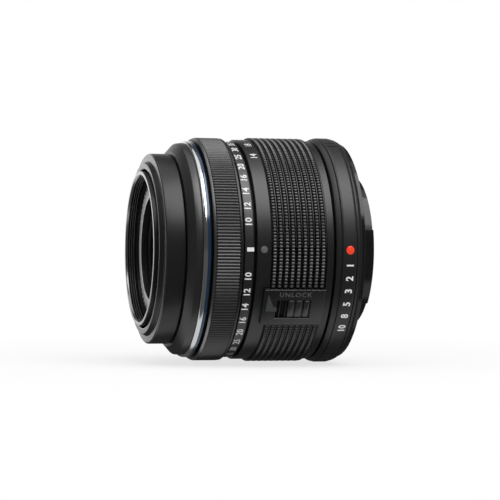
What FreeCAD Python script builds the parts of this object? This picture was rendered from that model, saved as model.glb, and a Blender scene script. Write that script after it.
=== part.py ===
"""Collapsible standard zoom lens for a mirrorless camera, with every piece as its own solid.

Each piece is drawn about the optical axis: x points at the index marks, y up, and z forward
from the mounting flange. LENS then lays the lens down, so that forward is -Y and up is +Z.
"""
import FreeCAD, Part
import math
import os
from types import SimpleNamespace

import Sketcher
from FreeCAD import Placement, Rotation, Vector

# Driving sizes in millimetres and degrees
SIZE_TABLE = (
    # Mount plate and its bayonet
    ("plate_radius", 27.0),
    ("plate_thickness", 1.04),
    ("throat_radius", 17.0),
    ("register_radius", 18.75),
    ("register_length", 4.45),
    ("tab_radius", 19.67),
    ("tab_setback", 1.7),
    ("tab_angle", 57),
    ("tab_count", 3),
    ("tab_centre", -13.5),
    ("lock_hole_radius", 1.5),
    ("lock_hole_circle", 23.6),
    ("mount_screw_circle", 22.6),
    ("mount_screw_radius", 0.8),
    ("mount_screw_head_radius", 1.5),
    ("mount_screw_head_height", 0.5),
    # Contacts and light baffle inside the bayonet
    ("contact_circle", 15.2),
    ("contact_radius", 0.5),
    ("contact_pitch", 5.2),
    ("contact_stand", 0.15),
    ("contact_block_inner", 13.4),
    ("contact_block_angle", 64),
    ("contact_block_setback", 0.25),
    ("baffle_thickness", 1.0),
    ("baffle_setback", 0.25),
    ("baffle_window_width", 17.0),
    ("baffle_window_height", 13.0),
    # Rear barrel
    ("rear_barrel_length", 6.41),
    ("barrel_radius", 28.25),
    ("shoulder_drop", 0.7),
    ("shoulder_reach", 1.82),
    ("barrel_front_radius", 27.5),
    ("barrel_bore_gap", 0.45),
    ("collar_thickness", 0.96),
    ("collar_bore", 20.5),
    ("groove_width", 0.3),
    ("groove_depth", 0.25),
    ("rear_groove_place", 1.41),
    ("front_groove_place", 5.1),
    ("dot_radius", 1.3),
    ("dot_place", 3.2),
    ("dot_proud", 0.2),
    # Nested barrels
    ("front_barrel_radius", 23.9),
    ("front_barrel_wall", 1.0),
    ("front_barrel_start", 4.4),
    ("slide_fit", 0.2),
    ("turn_fit", 0.15),
    ("fixed_wall", 0.8),
    ("fixed_flange", 1.2),
    ("cam_wall", 0.8),
    ("cam_start", 3.5),
    ("journal_wall", 0.8),
    ("journal_land", 1.3),
    ("trim_seat_wall", 0.3),
    ("seal_width", 0.7),
    ("seal_depth", 0.55),
    # Zoom motion: one turn of the ring drives both inner barrels
    ("zoom_turn", 118),
    ("front_travel", 19.0),
    ("rear_travel", 9.0),
    ("front_pin_place", 6.0),
    ("rear_pin_place", 11.0),
    ("roller_radius", 1.2),
    ("pin_radius", 1.0),
    ("roller_fit", 0.15),
    # Zoom ring with its grip
    ("ring_gap", 0.55),
    ("zoom_length", 19.1),
    ("grip_seat_wall", 1.0),
    ("zoom_land_rise", 0.45),
    ("grip_thickness", 1.0),
    ("grip_setback", 1.8),
    ("grip_length", 13.8),
    ("grip_bands", 9),
    ("grip_band_pitch", 1.505),
    ("grip_band_land", 1.2),
    ("grip_groove_depth", 0.5),
    ("zoom_key_radius", 0.7),
    ("zoom_key_place", 0.9),
    # Lock plate and slider on the zoom ring
    ("lock_angle", -29.65),
    ("lock_plate_thickness", 1.1),
    ("lock_plate_width", 9.76),
    ("lock_plate_length", 15.2),
    ("lock_plate_setback", 1.8),
    ("lock_slot_width", 5.1),
    ("lock_slot_length", 8.65),
    ("lock_slot_setback", 3.2),
    ("lock_slot_offset", 0.47),
    ("lock_travel", 2.8),
    ("lock_knob_length", 5.65),
    ("lock_knob_proud", 0.45),
    ("lock_rib_width", 0.9),
    ("lock_foot_angle", 14),
    ("lock_foot_margin", 1.1),
    ("lock_foot_wall", 0.8),
    ("slot_fit", 0.1),
    # Index ring, focus ring and trim rings
    ("index_gap", 0.6),
    ("index_length", 2.4),
    ("index_seat_step", 0.18),
    ("index_wall", 1.1),
    ("focus_gap", 0.4),
    ("focus_length", 7.1),
    ("focus_wall", 1.86),
    ("focus_rib_count", 220),
    ("focus_rib_depth", 0.34),
    ("focus_rib_setback", 0.7),
    ("focus_rib_length", 5.95),
    ("comb_teeth", 60),
    ("comb_wall", 0.65),
    ("comb_length", 1.6),
    ("sensor_angle", 10),
    ("trim_gap", 0.6),
    ("blue_length", 0.8),
    ("chrome_length", 0.9),
    ("trim_depth", 1.75),
    # Front cap, decoration ring and filter ring
    ("cap_gap", 0.15),
    ("cap_radius", 26.35),
    ("cap_waist_radius", 26.05),
    ("cap_front_radius", 24.3),
    ("cap_length", 3.3),
    ("cap_cone_length", 1.65),
    ("cap_front_wall", 1.3),
    ("neck_radius", 21.0),
    ("neck_wall", 0.8),
    ("neck_length", 4.25),
    ("lug_radius", 22.3),
    ("lug_length", 1.2),
    ("lug_angle", 30),
    ("deco_gap", 0.25),
    ("deco_radius", 23.6),
    ("deco_wall", 1.0),
    ("deco_length", 4.9),
    ("deco_step_radius", 21.7),
    ("deco_step_length", 1.1),
    ("deco_lip_radius", 21.1),
    ("deco_bore", 19.7),
    ("deco_lip_thickness", 1.8),
    ("deco_claw_angle", 25),
    ("rim_rise", 0.9),
    ("rim_radius", 19.2),
    ("thread_radius", 18.1),
    ("thread_length", 2.7),
    ("filter_inner", 17.2),
    ("filter_flange", 1.45),
    ("filter_ledge", 1.2),
    ("front_flange", 1.6),
    ("front_screw_circle", 21.3),
    ("front_screw_radius", 0.6),
    ("front_screw_head_radius", 1.3),
    ("front_screw_head_height", 0.75),
    ("front_screw_length", 4.2),
    ("screw_fit", 0.05),
    # Front cell and its glass
    ("bezel_inner", 15.0),
    ("bezel_thickness", 1.85),
    ("bezel_face_radius", 15.4),
    ("bezel_opening", 12.8),
    ("bezel_step", 0.4),
    ("retainer_depth", 0.8),
    ("cell_flange", 1.45),
    ("cell_radius", 13.3),
    ("cell_length", 11.6),
    ("retainer_inner", 11.05),
    ("retainer_radius", 12.9),
    ("first_glass_radius", 11.85),
    ("first_glass_front", 1.3),
    ("second_glass_radius", 10.65),
    ("third_glass_radius", 10.25),
    ("seat_fit", 0.05),
    # Rear carriage with the iris
    ("carriage_radius", 22.6),
    ("carriage_wall", 1.0),
    ("carriage_start", 7.55),
    ("carriage_length", 18.45),
    ("bulkhead_thickness", 1.6),
    ("bulkhead_bore", 8.0),
    ("iris_aperture", 7.4),
    ("iris_radius", 15.4),
    ("iris_floor", 0.8),
    ("iris_height", 2.5),
    ("blade_thickness", 0.06),
    ("blade_pitch", 0.11),
    ("blade_pivot_circle", 12.4),
    ("blade_pin_radius", 0.4),
    ("blade_turn", 25),
    ("iris_ring_turn", 20),
    ("iris_ring_radius", 13.95),
    ("iris_ring_bore", 10.2),
    ("iris_ring_thickness", 0.4),
    ("iris_cover_thickness", 0.7),
    ("fourth_cell_radius", 8.6),
    ("fourth_glass_radius", 7.25),
    ("fourth_cell_length", 3.9),
    # Middle cell, rear cell and their glass
    ("middle_cell_radius", 10.2),
    ("middle_glass_radius", 8.0),
    ("middle_cell_length", 6.2),
    ("middle_flange_radius", 13.0),
    ("cover_thickness", 1.5),
    ("cover_boss_radius", 11.0),
    ("cover_boss_length", 2.0),
    ("rear_glass_radius", 9.5),
    # Focusing group
    ("rod_radius", 0.7),
    ("rod_circle", 15.5),
    ("rod_fit", 0.1),
    ("focus_travel", 3.0),
    ("focus_cell_radius", 8.2),
    ("focus_glass_radius", 6.55),
    ("focus_cell_start", 11.0),
    ("focus_cell_length", 3.5),
    ("focus_arm_thickness", 1.2),
    ("focus_sleeve_radius", 1.6),
    ("focus_sleeve_length", 5.0),
    ("motor_radius", 3.0),
    ("motor_circle", 16.5),
    ("motor_length", 5.8),
    ("lead_screw_radius", 0.75),
    # Main board
    ("board_bore", 13.5),
    ("board_thickness", 0.7),
    ("chip_size", 4.6),
    ("chip_height", 1.0),
    # Broken edges
    ("edge_break", 0.15),
)

FRONT_PIN_ANGLES = (90, 210, 330)
REAR_PIN_ANGLES = (30, 150, 270)
KEY_ANGLES = (45, 165, 285)
MOUNT_SCREW_ANGLES = (45, 135, 225, 315)
FRONT_SCREW_ANGLES = (60, 180, 300)
LOCK_HOLE_ANGLE = 200
CONTACT_ANGLE = 180
CONTACT_COUNT = 11
CHIP_ANGLES = (40, 100, 250, 320)
SENSOR_ANGLE = 200
ROD_ANGLES = (100, 280)
MOTOR_ANGLE = 55
BLADE_COUNT = 7

LENS = Placement(Vector(0, 0, 0), Rotation(Vector(1, 0, 0), 90))

doc = FreeCAD.newDocument("CameraLens")
sheet = doc.addObject("Spreadsheet::Sheet", "Sizes")
for row, (alias, number) in enumerate(SIZE_TABLE, 1):
    sheet.set("A%d" % row, alias)
    sheet.set("B%d" % row, str(number))
    sheet.setAlias("B%d" % row, alias)
doc.recompute()


class Size:
    """A size with both its formula over the sheet's cells and its number."""

    def __init__(self, text, number):
        self.text = text
        self.number = number

    def __add__(self, other):
        other = as_size(other)
        return Size("(%s + %s)" % (self.text, other.text), self.number + other.number)

    def __radd__(self, other):
        return as_size(other) + self

    def __sub__(self, other):
        other = as_size(other)
        return Size("(%s - %s)" % (self.text, other.text), self.number - other.number)

    def __rsub__(self, other):
        return as_size(other) - self

    def __mul__(self, other):
        other = as_size(other)
        return Size("(%s * %s)" % (self.text, other.text), self.number * other.number)

    def __rmul__(self, other):
        return as_size(other) * self

    def __truediv__(self, other):
        other = as_size(other)
        return Size("(%s / %s)" % (self.text, other.text), self.number / other.number)

    def __neg__(self):
        return 0 - self

    def root(self):
        """The square root."""
        return Size("sqrt(%s)" % self.text, math.sqrt(self.number))


def as_size(value):
    """A Size from a Size or from a plain number."""
    if isinstance(value, Size):
        return value
    return Size("(%.9f)" % value, value)


size = SimpleNamespace(**{alias: Size("Sizes." + alias, sheet.get(alias)) for alias, _ in SIZE_TABLE})

# Stations along the axis, counted forward from the flange
at = SimpleNamespace()
at.collar = size.plate_thickness + size.collar_thickness
at.fixed_flange = at.collar + size.fixed_flange
at.rear_barrel = size.plate_thickness + size.rear_barrel_length
at.zoom_rear = at.rear_barrel + size.ring_gap
at.zoom_front = at.zoom_rear + size.zoom_length
at.index_rear = at.zoom_front + size.index_gap
at.index_front = at.index_rear + size.index_length
at.focus_rear = at.index_front + size.focus_gap
at.focus_front = at.focus_rear + size.focus_length
at.blue_rear = at.focus_front + size.trim_gap
at.chrome_rear = at.blue_rear + size.blue_length
at.chrome_front = at.chrome_rear + size.chrome_length
at.cap_rear = at.chrome_front + size.cap_gap
at.cap_front = at.cap_rear + size.cap_length
at.cap_seat = at.cap_front - size.cap_front_wall
at.neck_front = at.cap_front + size.neck_length
at.lug_front = at.neck_front - size.slide_fit
at.lug_rear = at.lug_front - size.lug_length
at.deco_rear = at.cap_front + size.deco_gap
at.deco_front = at.deco_rear + size.deco_length
at.deco_lip = at.deco_front + size.deco_step_length
at.rim = at.deco_lip + size.rim_rise
at.thread_floor = at.rim - size.thread_length
at.barrel_front = at.cap_seat - size.seat_fit
at.barrel_flange = at.barrel_front - size.front_flange
at.filter_flange = at.barrel_flange - size.seat_fit
at.filter_rear = at.filter_flange - size.filter_flange
at.bezel_rear = at.thread_floor - size.bezel_thickness - 6 * size.seat_fit
at.cell_flange_front = at.bezel_rear - size.seat_fit
at.cell_flange_rear = at.cell_flange_front - size.cell_flange
at.ledge_front = at.cell_flange_rear - size.seat_fit
at.cell_front = at.cell_flange_front + 2 * size.edge_break
at.cell_rear = at.cell_front - size.cell_length
at.bulkhead_front = size.carriage_start + size.carriage_length
at.bulkhead_rear = at.bulkhead_front - size.bulkhead_thickness
at.iris_rear = at.bulkhead_front + size.seat_fit
at.iris_floor = at.iris_rear + size.iris_floor
at.iris_front = at.iris_rear + size.iris_height
at.cover_rear = size.carriage_start - size.cover_thickness - size.seat_fit

# Radii of the nested barrels, from the inside out
radius = SimpleNamespace()
radius.front_inner = size.front_barrel_radius - size.front_barrel_wall
radius.fixed_inner = size.front_barrel_radius + size.slide_fit
radius.fixed_outer = radius.fixed_inner + size.fixed_wall
radius.cam_inner = radius.fixed_outer + size.turn_fit
radius.cam_outer = radius.cam_inner + size.cam_wall
radius.zoom_inner = radius.cam_outer + size.turn_fit
radius.journal = radius.fixed_outer + size.journal_wall
radius.focus_inner = radius.journal + size.slide_fit
radius.trim_seat = radius.fixed_outer + size.trim_seat_wall
radius.barrel_bore = radius.cam_outer + size.barrel_bore_gap
radius.grip_seat = radius.zoom_inner + size.grip_seat_wall
radius.zoom = radius.grip_seat + size.zoom_land_rise
radius.grip = radius.grip_seat + size.grip_thickness
radius.lock_plate = radius.grip_seat + size.lock_plate_thickness
radius.index_seat = radius.journal + size.index_seat_step
radius.index = radius.index_seat + size.index_wall
radius.focus = radius.focus_inner + size.focus_wall
radius.trim = radius.trim_seat + size.trim_depth
radius.slot = size.roller_radius + size.roller_fit

pieces = []


def piece(name, solid):
    """Name a finished piece and lay it down with the rest of the lens."""
    solid.Label = name
    solid.Placement = LENS.multiply(solid.Placement)
    pieces.append(solid)
    return solid


def outline_sketch(body, name, outline):
    """A closed outline on the body's XZ plane, each corner bound to a radius and a station."""
    sketch = body.newObject("Sketcher::SketchObject", name)
    plane = next(item for item in body.Origin.OriginFeatures if item.Role == "XZ_Plane")
    sketch.AttachmentSupport = [(plane, "")]
    sketch.MapMode = "FlatFace"
    corners = [(as_size(across), as_size(along)) for across, along in outline]
    points = [Vector(across.number, along.number, 0) for across, along in corners]
    count = len(points)
    for index, point in enumerate(points):
        sketch.addGeometry(Part.LineSegment(point, points[(index + 1) % count]), False)
    for index in range(count):
        sketch.addConstraint(Sketcher.Constraint("Coincident", index, 2, (index + 1) % count, 1))
    for index, (across, along) in enumerate(corners):
        for kind, place in (("DistanceX", across), ("DistanceY", along)):
            number = sketch.addConstraint(Sketcher.Constraint(kind, -1, 1, index, 1, place.number))
            sketch.setExpression("Constraints[%d]" % number, place.text)
    return sketch


def add_turn(body, name, outline, sweep=None):
    """Turn an outline about the lens axis, all the way or over a sweep centred on the x axis."""
    sketch = outline_sketch(body, name + "_outline", outline)
    turn = body.newObject("PartDesign::Revolution", name + "_turn")
    turn.Profile = sketch
    turn.ReferenceAxis = (sketch, ["V_Axis"])
    turn.Angle = 360
    if sweep is not None:
        turn.Midplane = True
        turn.setExpression("Angle", as_size(sweep).text)
    sketch.Visibility = False
    return turn


def turned(name, outline, sweep=None, angle=0):
    """A body turned from one outline, then swung round the axis by an angle."""
    body = doc.addObject("PartDesign::Body", name)
    add_turn(body, name, outline, sweep)
    body.Placement = Placement(Vector(0, 0, 0), Rotation(Vector(0, 0, 1), angle))
    return body


def add_sectors(body, name, outline, sweep, count):
    """Add equal sectors, turned from one outline, evenly round the axis."""
    turn = add_turn(body, name, outline, sweep)
    pattern = body.newObject("PartDesign::PolarPattern", name + "_pattern")
    pattern.Originals = [turn]
    axis = next(item for item in body.Origin.OriginFeatures if item.Role == "Z_Axis")
    pattern.Axis = (axis, [""])
    pattern.Angle = 360
    pattern.setExpression("Occurrences", as_size(count).text)
    body.Tip = pattern


def set_base(solid, across, up, along):
    """Bind a primitive's base point."""
    for letter, place in zip("xyz", (across, up, along)):
        solid.setExpression("Placement.Base." + letter, as_size(place).text)


def axial_rod(name, rod_radius, start, end, circle=0, angle=0):
    """A round rod along the axis, standing on a circle round it."""
    rod = doc.addObject("Part::Cylinder", name)
    rod.setExpression("Radius", as_size(rod_radius).text)
    rod.setExpression("Height", (as_size(end) - start).text)
    turn = math.radians(angle)
    set_base(rod, circle * as_size(math.cos(turn)), circle * as_size(math.sin(turn)), start)
    return rod


def radial_rod(name, rod_radius, inner, outer, along, angle):
    """A round rod that points away from the axis, from one radius to another."""
    rod = doc.addObject("Part::Cylinder", name)
    rod.setExpression("Radius", as_size(rod_radius).text)
    rod.setExpression("Height", (as_size(outer) - inner).text)
    turn = math.radians(angle)
    rod.Placement.Rotation = Rotation(Vector(0, 0, 1), Vector(math.cos(turn), math.sin(turn), 0))
    set_base(rod, inner * as_size(math.cos(turn)), inner * as_size(math.sin(turn)), along)
    return rod


def block(name, low, high, angle=0):
    """A box between two corners (outward, sideways, along), swung round the axis by an angle."""
    solid = doc.addObject("Part::Box", name)
    low = [as_size(value) for value in low]
    high = [as_size(value) for value in high]
    for side, start, end in zip(("Length", "Width", "Height"), low, high):
        solid.setExpression(side, (end - start).text)
    turn = math.radians(angle)
    solid.Placement.Rotation = Rotation(Vector(0, 0, 1), angle)
    across = low[0] * math.cos(turn) - low[1] * math.sin(turn)
    up = low[0] * math.sin(turn) + low[1] * math.cos(turn)
    set_base(solid, across, up, low[2])
    return solid


def group(name, solids):
    """Separate solids that share one name."""
    together = doc.addObject("Part::Compound", name)
    together.Links = solids
    return together


def fused(name, solids):
    """Solids joined into one."""
    whole = doc.addObject("Part::MultiFuse", name)
    whole.Shapes = solids
    return whole


def cut(name, base, tools):
    """A solid with the tools' space taken out of it."""
    result = doc.addObject("Part::Cut", name)
    result.Base = base
    result.Tool = tools[0] if len(tools) == 1 else group(name + "_tools", tools)
    return result


def shaped(name, shape):
    """A feature that holds a shape made here."""
    feature = doc.addObject("Part::Feature", name)
    feature.Shape = shape
    return feature


def straight_slot(name, half_width, start, end, inner, outer, angle):
    """The space of a round-ended slot along the axis, through a barrel's wall."""
    middle = block(name + "_run", (inner, -half_width, start), (outer, half_width, end), angle)
    ends = [radial_rod(name + "_end_%d" % number, half_width, inner, outer, along, angle)
            for number, along in enumerate((start, end))]
    return fused(name, [middle] + ends)


def stepped_pins(name, steps, along, angles):
    """Equal pins that point away from the axis; each step is (radius, inner end, outer end)."""
    pins = []
    for angle in angles:
        rods = [radial_rod("%s_%d_step_%d" % (name, angle, number), *step, along, angle)
                for number, step in enumerate(steps)]
        pins.append(fused("%s_%d" % (name, angle), rods))
    return group(name, pins)


def screws(name, head, shank, circle, angles):
    """Equal screws along the axis; head and shank are (radius, start, end)."""
    group_of_screws = []
    for angle in angles:
        rods = [axial_rod("%s_%d_%s" % (name, angle, word), *rod, circle, angle)
                for word, rod in (("head", head), ("shank", shank))]
        group_of_screws.append(fused("%s_%d" % (name, angle), rods))
    return group(name, group_of_screws)


def glass(name, rim_radius, rear, front, rear_bend, front_bend):
    """A glass element; a positive bend bulges, a negative one is hollow over most of the rim."""
    lens = axial_rod(name + "_blank", rim_radius, rear, front)
    hollow_radius = rim_radius * 0.92
    for word, bend, face, way in (("rear", rear_bend, rear, 1), ("front", front_bend, front, -1)):
        ball = doc.addObject("Part::Sphere", "%s_%s_ball" % (name, word))
        ball.Radius = abs(bend)
        if bend > 0:
            set_base(ball, 0, 0, face + way * bend)
            shape = doc.addObject("Part::MultiCommon", "%s_%s_bulge" % (name, word))
            shape.Shapes = [lens, ball]
        else:
            reach = (bend * bend - hollow_radius * hollow_radius).root()
            set_base(ball, 0, 0, face - way * reach)
            shape = cut("%s_%s_hollow" % (name, word), lens, [ball])
        lens = shape
    return lens


def cam_slot(angle, start, rise, inner, outer):
    """The space of a helical slot that climbs as the angle grows, over the zoom's whole turn."""
    turn = math.radians(size.zoom_turn.number)
    middle = (inner + outer) / 2
    pitch = rise * 2 * math.pi / turn
    climb = math.atan2(pitch, 2 * math.pi * middle)
    half = radius.slot.number
    offset = half / math.cos(climb)
    curves = []
    for reach, side in ((inner, -offset), (outer, -offset), (outer, offset), (inner, offset)):
        helix = Part.makeHelix(pitch, rise, reach)
        helix.translate(Vector(0, 0, side))
        curves.append(helix.Edges[0])
    faces = [Part.makeRuledSurface(curves[index], curves[(index + 1) % 4]) for index in range(4)]
    for end in ("FirstParameter", "LastParameter"):
        corners = [curve.valueAt(getattr(curve, end)) for curve in curves]
        faces.append(Part.Face(Part.makePolygon(corners + corners[:1])))
    solid = Part.Solid(Part.Shell(faces))
    for place, height in ((0, 0), (turn, rise)):
        way = Vector(math.cos(place), math.sin(place), 0)
        end = Part.makeCylinder(half, outer - inner, way * inner + Vector(0, 0, height), way)
        solid = solid.fuse(end)
    solid.rotate(Vector(0, 0, 0), Vector(0, 0, 1), angle)
    solid.translate(Vector(0, 0, start))
    return solid


def toothed_wire(valley, peak, count, share):
    """A closed outline of straight-sided teeth round the axis; share is the peak's part of a tooth."""
    points = []
    step = 2 * math.pi / count
    half_peak = step * share / 2
    half_foot = half_peak + step * 0.12
    for tooth in range(count):
        centre = tooth * step
        for turn, reach in ((-half_foot, valley), (-half_peak, peak), (half_peak, peak), (half_foot, valley)):
            points.append(Vector(reach * math.cos(centre + turn), reach * math.sin(centre + turn), 0))
    return Part.makePolygon(points + points[:1])


def circle_wire(reach):
    """A circle about the axis."""
    return Part.Wire([Part.makeCircle(reach)])


def face_between(outer_wire, inner_wire, start):
    """A flat face at a station, between any outer and inner outline."""
    face = Part.makeFace([outer_wire, inner_wire], "Part::FaceMakerBullseye")
    face.translate(Vector(0, 0, start))
    return face


def mount():
    """Mount plate with its bayonet, screws, contacts and light baffle."""
    plate = turned("mount_plate_blank", (
        (size.throat_radius, size.plate_thickness),
        (size.plate_radius, size.plate_thickness),
        (size.plate_radius, 0),
        (size.register_radius, 0),
        (size.register_radius, -size.register_length),
        (size.throat_radius, -size.register_length)))
    tab_root = size.register_radius - size.edge_break
    add_sectors(plate, "bayonet_tab", (
        (tab_root, -size.tab_setback),
        (size.tab_radius, -size.tab_setback),
        (size.tab_radius, size.edge_break - size.register_length),
        (size.tab_radius - size.edge_break, -size.register_length),
        (tab_root, -size.register_length)), size.tab_angle, size.tab_count)
    plate.Placement.Rotation = Rotation(Vector(0, 0, 1), size.tab_centre.number)
    holes = []
    for angle in MOUNT_SCREW_ANGLES:
        holes.append(axial_rod("mount_hole_%d" % angle, size.mount_screw_radius + size.screw_fit,
                               0, size.plate_thickness, size.mount_screw_circle, angle))
        holes.append(axial_rod("mount_counterbore_%d" % angle, size.mount_screw_head_radius + size.screw_fit,
                               0, size.mount_screw_head_height + size.screw_fit,
                               size.mount_screw_circle, angle))
    holes.append(axial_rod("lock_pin_space", size.lock_hole_radius, 0, size.plate_thickness,
                           size.lock_hole_circle, LOCK_HOLE_ANGLE))
    piece("mount_plate", cut("mount_plate", plate, holes))

    head = (size.mount_screw_head_radius, size.screw_fit, size.mount_screw_head_height)
    shank = (size.mount_screw_radius, size.mount_screw_head_height, at.fixed_flange - size.screw_fit)
    piece("mount_screws", screws("mount_screws", head, shank, size.mount_screw_circle, MOUNT_SCREW_ANGLES))

    fit = size.seat_fit
    baffle_rear = -size.baffle_setback - size.baffle_thickness
    baffle = turned("baffle_blank", (
        (0, baffle_rear),
        (size.throat_radius - fit, baffle_rear),
        (size.throat_radius - fit, size.plate_thickness),
        (size.throat_radius - size.journal_wall, size.plate_thickness),
        (size.throat_radius - size.journal_wall, -size.baffle_setback),
        (0, -size.baffle_setback)))
    half_width = size.baffle_window_width / 2
    half_height = size.baffle_window_height / 2
    window = block("baffle_window", (-half_height, -half_width, baffle_rear),
                   (half_height, half_width, -size.baffle_setback))
    piece("rear_baffle", cut("rear_baffle", baffle, [window]))

    block_rear = size.contact_block_setback - size.register_length
    block_front = baffle_rear - fit
    body = turned("contact_block_blank", (
        (size.contact_block_inner, block_rear),
        (size.throat_radius - fit, block_rear),
        (size.throat_radius - fit, block_front),
        (size.contact_block_inner, block_front)), size.contact_block_angle, CONTACT_ANGLE)
    sockets = []
    pins = []
    for number in range(CONTACT_COUNT):
        spread = (number - (CONTACT_COUNT - 1) / 2) * size.contact_pitch.number
        angle = CONTACT_ANGLE + spread
        pin = (size.contact_radius, block_rear - size.contact_stand, block_front)
        pins.append(axial_rod("contact_%d" % number, *pin, size.contact_circle, angle))
        sockets.append(axial_rod("contact_socket_%d" % number, *pin, size.contact_circle, angle))
    piece("contact_block", cut("contact_block", body, sockets))
    piece("contact_pins", group("contact_pins", pins))


def rear_barrel():
    """Rear barrel with its two grooves, and the mounting index dot."""
    rear = size.plate_thickness
    outer = size.barrel_radius
    rear_groove = rear + size.rear_groove_place
    front_groove = rear + size.front_groove_place
    half = size.groove_width / 2
    shoulder = 5 * size.edge_break
    outline = [
        (size.collar_bore, rear),
        (outer - size.shoulder_drop, rear),
        (outer - size.shoulder_drop / 2, rear + size.shoulder_reach / 3),
        (outer - size.shoulder_drop / 4, rear_groove - half),
        (outer - size.groove_depth - size.edge_break, rear_groove),
        (outer - size.shoulder_drop / 8, rear_groove + half),
        (outer, rear + size.shoulder_reach),
        (outer, front_groove - shoulder),
        (outer - size.edge_break, front_groove - half),
        (outer - size.groove_depth - size.edge_break, front_groove),
        (outer - size.edge_break, front_groove + half),
        (size.barrel_front_radius, at.rear_barrel),
        (radius.barrel_bore, at.rear_barrel),
        (radius.barrel_bore, at.collar),
        (size.collar_bore, at.collar)]
    blank = turned("rear_barrel_blank", outline)
    dot_station = rear + size.dot_place
    dot_floor = outer - 4 * size.dot_proud
    holes = [radial_rod("dot_seat", size.dot_radius, dot_floor, outer + 1, dot_station, 0)]
    for angle in MOUNT_SCREW_ANGLES:
        holes.append(axial_rod("collar_hole_%d" % angle, size.mount_screw_radius + size.screw_fit,
                               rear, at.collar, size.mount_screw_circle, angle))
    piece("rear_barrel", cut("rear_barrel", blank, holes))

    stem = radial_rod("dot_stem", size.dot_radius, dot_floor, outer + 1, dot_station, 0)
    dome_radius = 2 * size.dot_radius
    dome = doc.addObject("Part::Sphere", "dot_dome")
    dome.setExpression("Radius", dome_radius.text)
    set_base(dome, outer + size.dot_proud - dome_radius, 0, dot_station)
    dot = doc.addObject("Part::MultiCommon", "mount_index_dot")
    dot.Shapes = [stem, dome]
    piece("mount_index_dot", dot)


def fixed_barrel():
    """Fixed inner barrel with its straight slots, the board behind it and the light seal."""
    seat = at.index_rear + size.edge_break
    lands = at.index_front + size.seat_fit
    land_front = at.blue_rear - size.slide_fit
    seal_rear = at.chrome_front - 2 * size.edge_break - size.seal_width
    seal_front = seal_rear + size.seal_width
    inner = radius.fixed_inner
    outer = radius.fixed_outer
    outline = (
        (size.collar_bore, at.collar),
        (outer, at.collar),
        (outer, seat),
        (radius.index_seat, seat),
        (radius.index_seat, lands),
        (radius.journal, lands),
        (radius.journal, lands + size.journal_land),
        (outer, lands + size.journal_land),
        (outer, land_front - size.journal_land),
        (radius.journal, land_front - size.journal_land),
        (radius.journal, land_front),
        (radius.trim_seat, land_front),
        (radius.trim_seat, at.chrome_front - size.edge_break),
        (inner, at.chrome_front - size.edge_break),
        (inner, seal_front),
        (inner + size.seal_depth, seal_front),
        (inner + size.seal_depth, seal_rear),
        (inner, seal_rear),
        (inner, at.fixed_flange),
        (size.collar_bore, at.fixed_flange))
    blank = turned("fixed_barrel_blank", outline)
    tools = []
    for word, place, travel, angles in (
            ("front", size.front_pin_place, size.front_travel, FRONT_PIN_ANGLES),
            ("rear", size.rear_pin_place, size.rear_travel, REAR_PIN_ANGLES)):
        for angle in angles:
            tools.append(straight_slot("%s_guide_%d" % (word, angle), radius.slot, place, place + travel,
                                       inner - size.slide_fit / 2, outer + size.turn_fit / 2, angle))
    for angle in MOUNT_SCREW_ANGLES:
        tools.append(axial_rod("flange_hole_%d" % angle, size.mount_screw_radius, at.collar,
                               at.fixed_flange, size.mount_screw_circle, angle))
    comb_rear = (at.focus_rear + at.focus_front - size.comb_length) / 2
    sensor_outline = (
        (inner + size.seat_fit, comb_rear - size.seat_fit),
        (outer + size.slide_fit, comb_rear - size.seat_fit),
        (outer + size.slide_fit, comb_rear + size.comb_length + size.seat_fit),
        (inner + size.seat_fit, comb_rear + size.comb_length + size.seat_fit))
    window = turned("sensor_window", (
        (inner - size.slide_fit / 2, comb_rear - 2 * size.seat_fit),
        (outer + size.slide_fit, comb_rear - 2 * size.seat_fit),
        (outer + size.slide_fit, comb_rear + size.comb_length + 2 * size.seat_fit),
        (inner - size.slide_fit / 2, comb_rear + size.comb_length + 2 * size.seat_fit)),
        size.sensor_angle + 2 * size.seat_fit, SENSOR_ANGLE)
    tools.append(window)
    piece("fixed_barrel", cut("fixed_barrel", blank, tools))
    piece("focus_sensor", turned("focus_sensor", sensor_outline, size.sensor_angle, SENSOR_ANGLE))

    piece("barrel_seal", turned("barrel_seal", (
        (size.front_barrel_radius + size.seat_fit, seal_rear),
        (inner + size.seal_depth, seal_rear),
        (inner + size.seal_depth, seal_front),
        (size.front_barrel_radius + size.seat_fit, seal_front))))

    board_front = at.fixed_flange + size.board_thickness
    board = turned("board_plate", (
        (size.board_bore, at.fixed_flange),
        (inner - size.seat_fit, at.fixed_flange),
        (inner - size.seat_fit, board_front),
        (size.board_bore, board_front)))
    chips = []
    middle = (size.board_bore + size.collar_bore) / 2
    half = size.chip_size / 2
    for angle in CHIP_ANGLES:
        chips.append(block("chip_%d" % angle, (middle - half, -half, at.fixed_flange - size.chip_height),
                           (middle + half, half, at.fixed_flange), angle))
    piece("main_board", fused("main_board", [board] + chips))


def index_and_trim():
    """Index ring between the two turning rings, and the blue and bright trim rings in front."""
    bevel = size.edge_break
    inner = radius.index_seat + size.seat_fit
    piece("index_ring", turned("index_ring", (
        (inner, at.index_rear),
        (radius.index - bevel, at.index_rear),
        (radius.index, at.index_rear + bevel),
        (radius.index, at.index_front - bevel),
        (radius.index - bevel, at.index_front),
        (inner, at.index_front))))
    seat = radius.trim_seat + size.seat_fit
    piece("blue_ring", turned("blue_ring", (
        (seat, at.blue_rear),
        (radius.trim - bevel, at.blue_rear),
        (radius.trim, at.blue_rear + bevel),
        (radius.trim, at.chrome_rear),
        (seat, at.chrome_rear))))
    piece("chrome_ring", turned("chrome_ring", (
        (seat, at.chrome_rear),
        (radius.trim, at.chrome_rear),
        (radius.trim - bevel, at.chrome_front - 2 * bevel),
        (radius.trim - 3 * bevel, at.chrome_front),
        (seat, at.chrome_front))))


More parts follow.
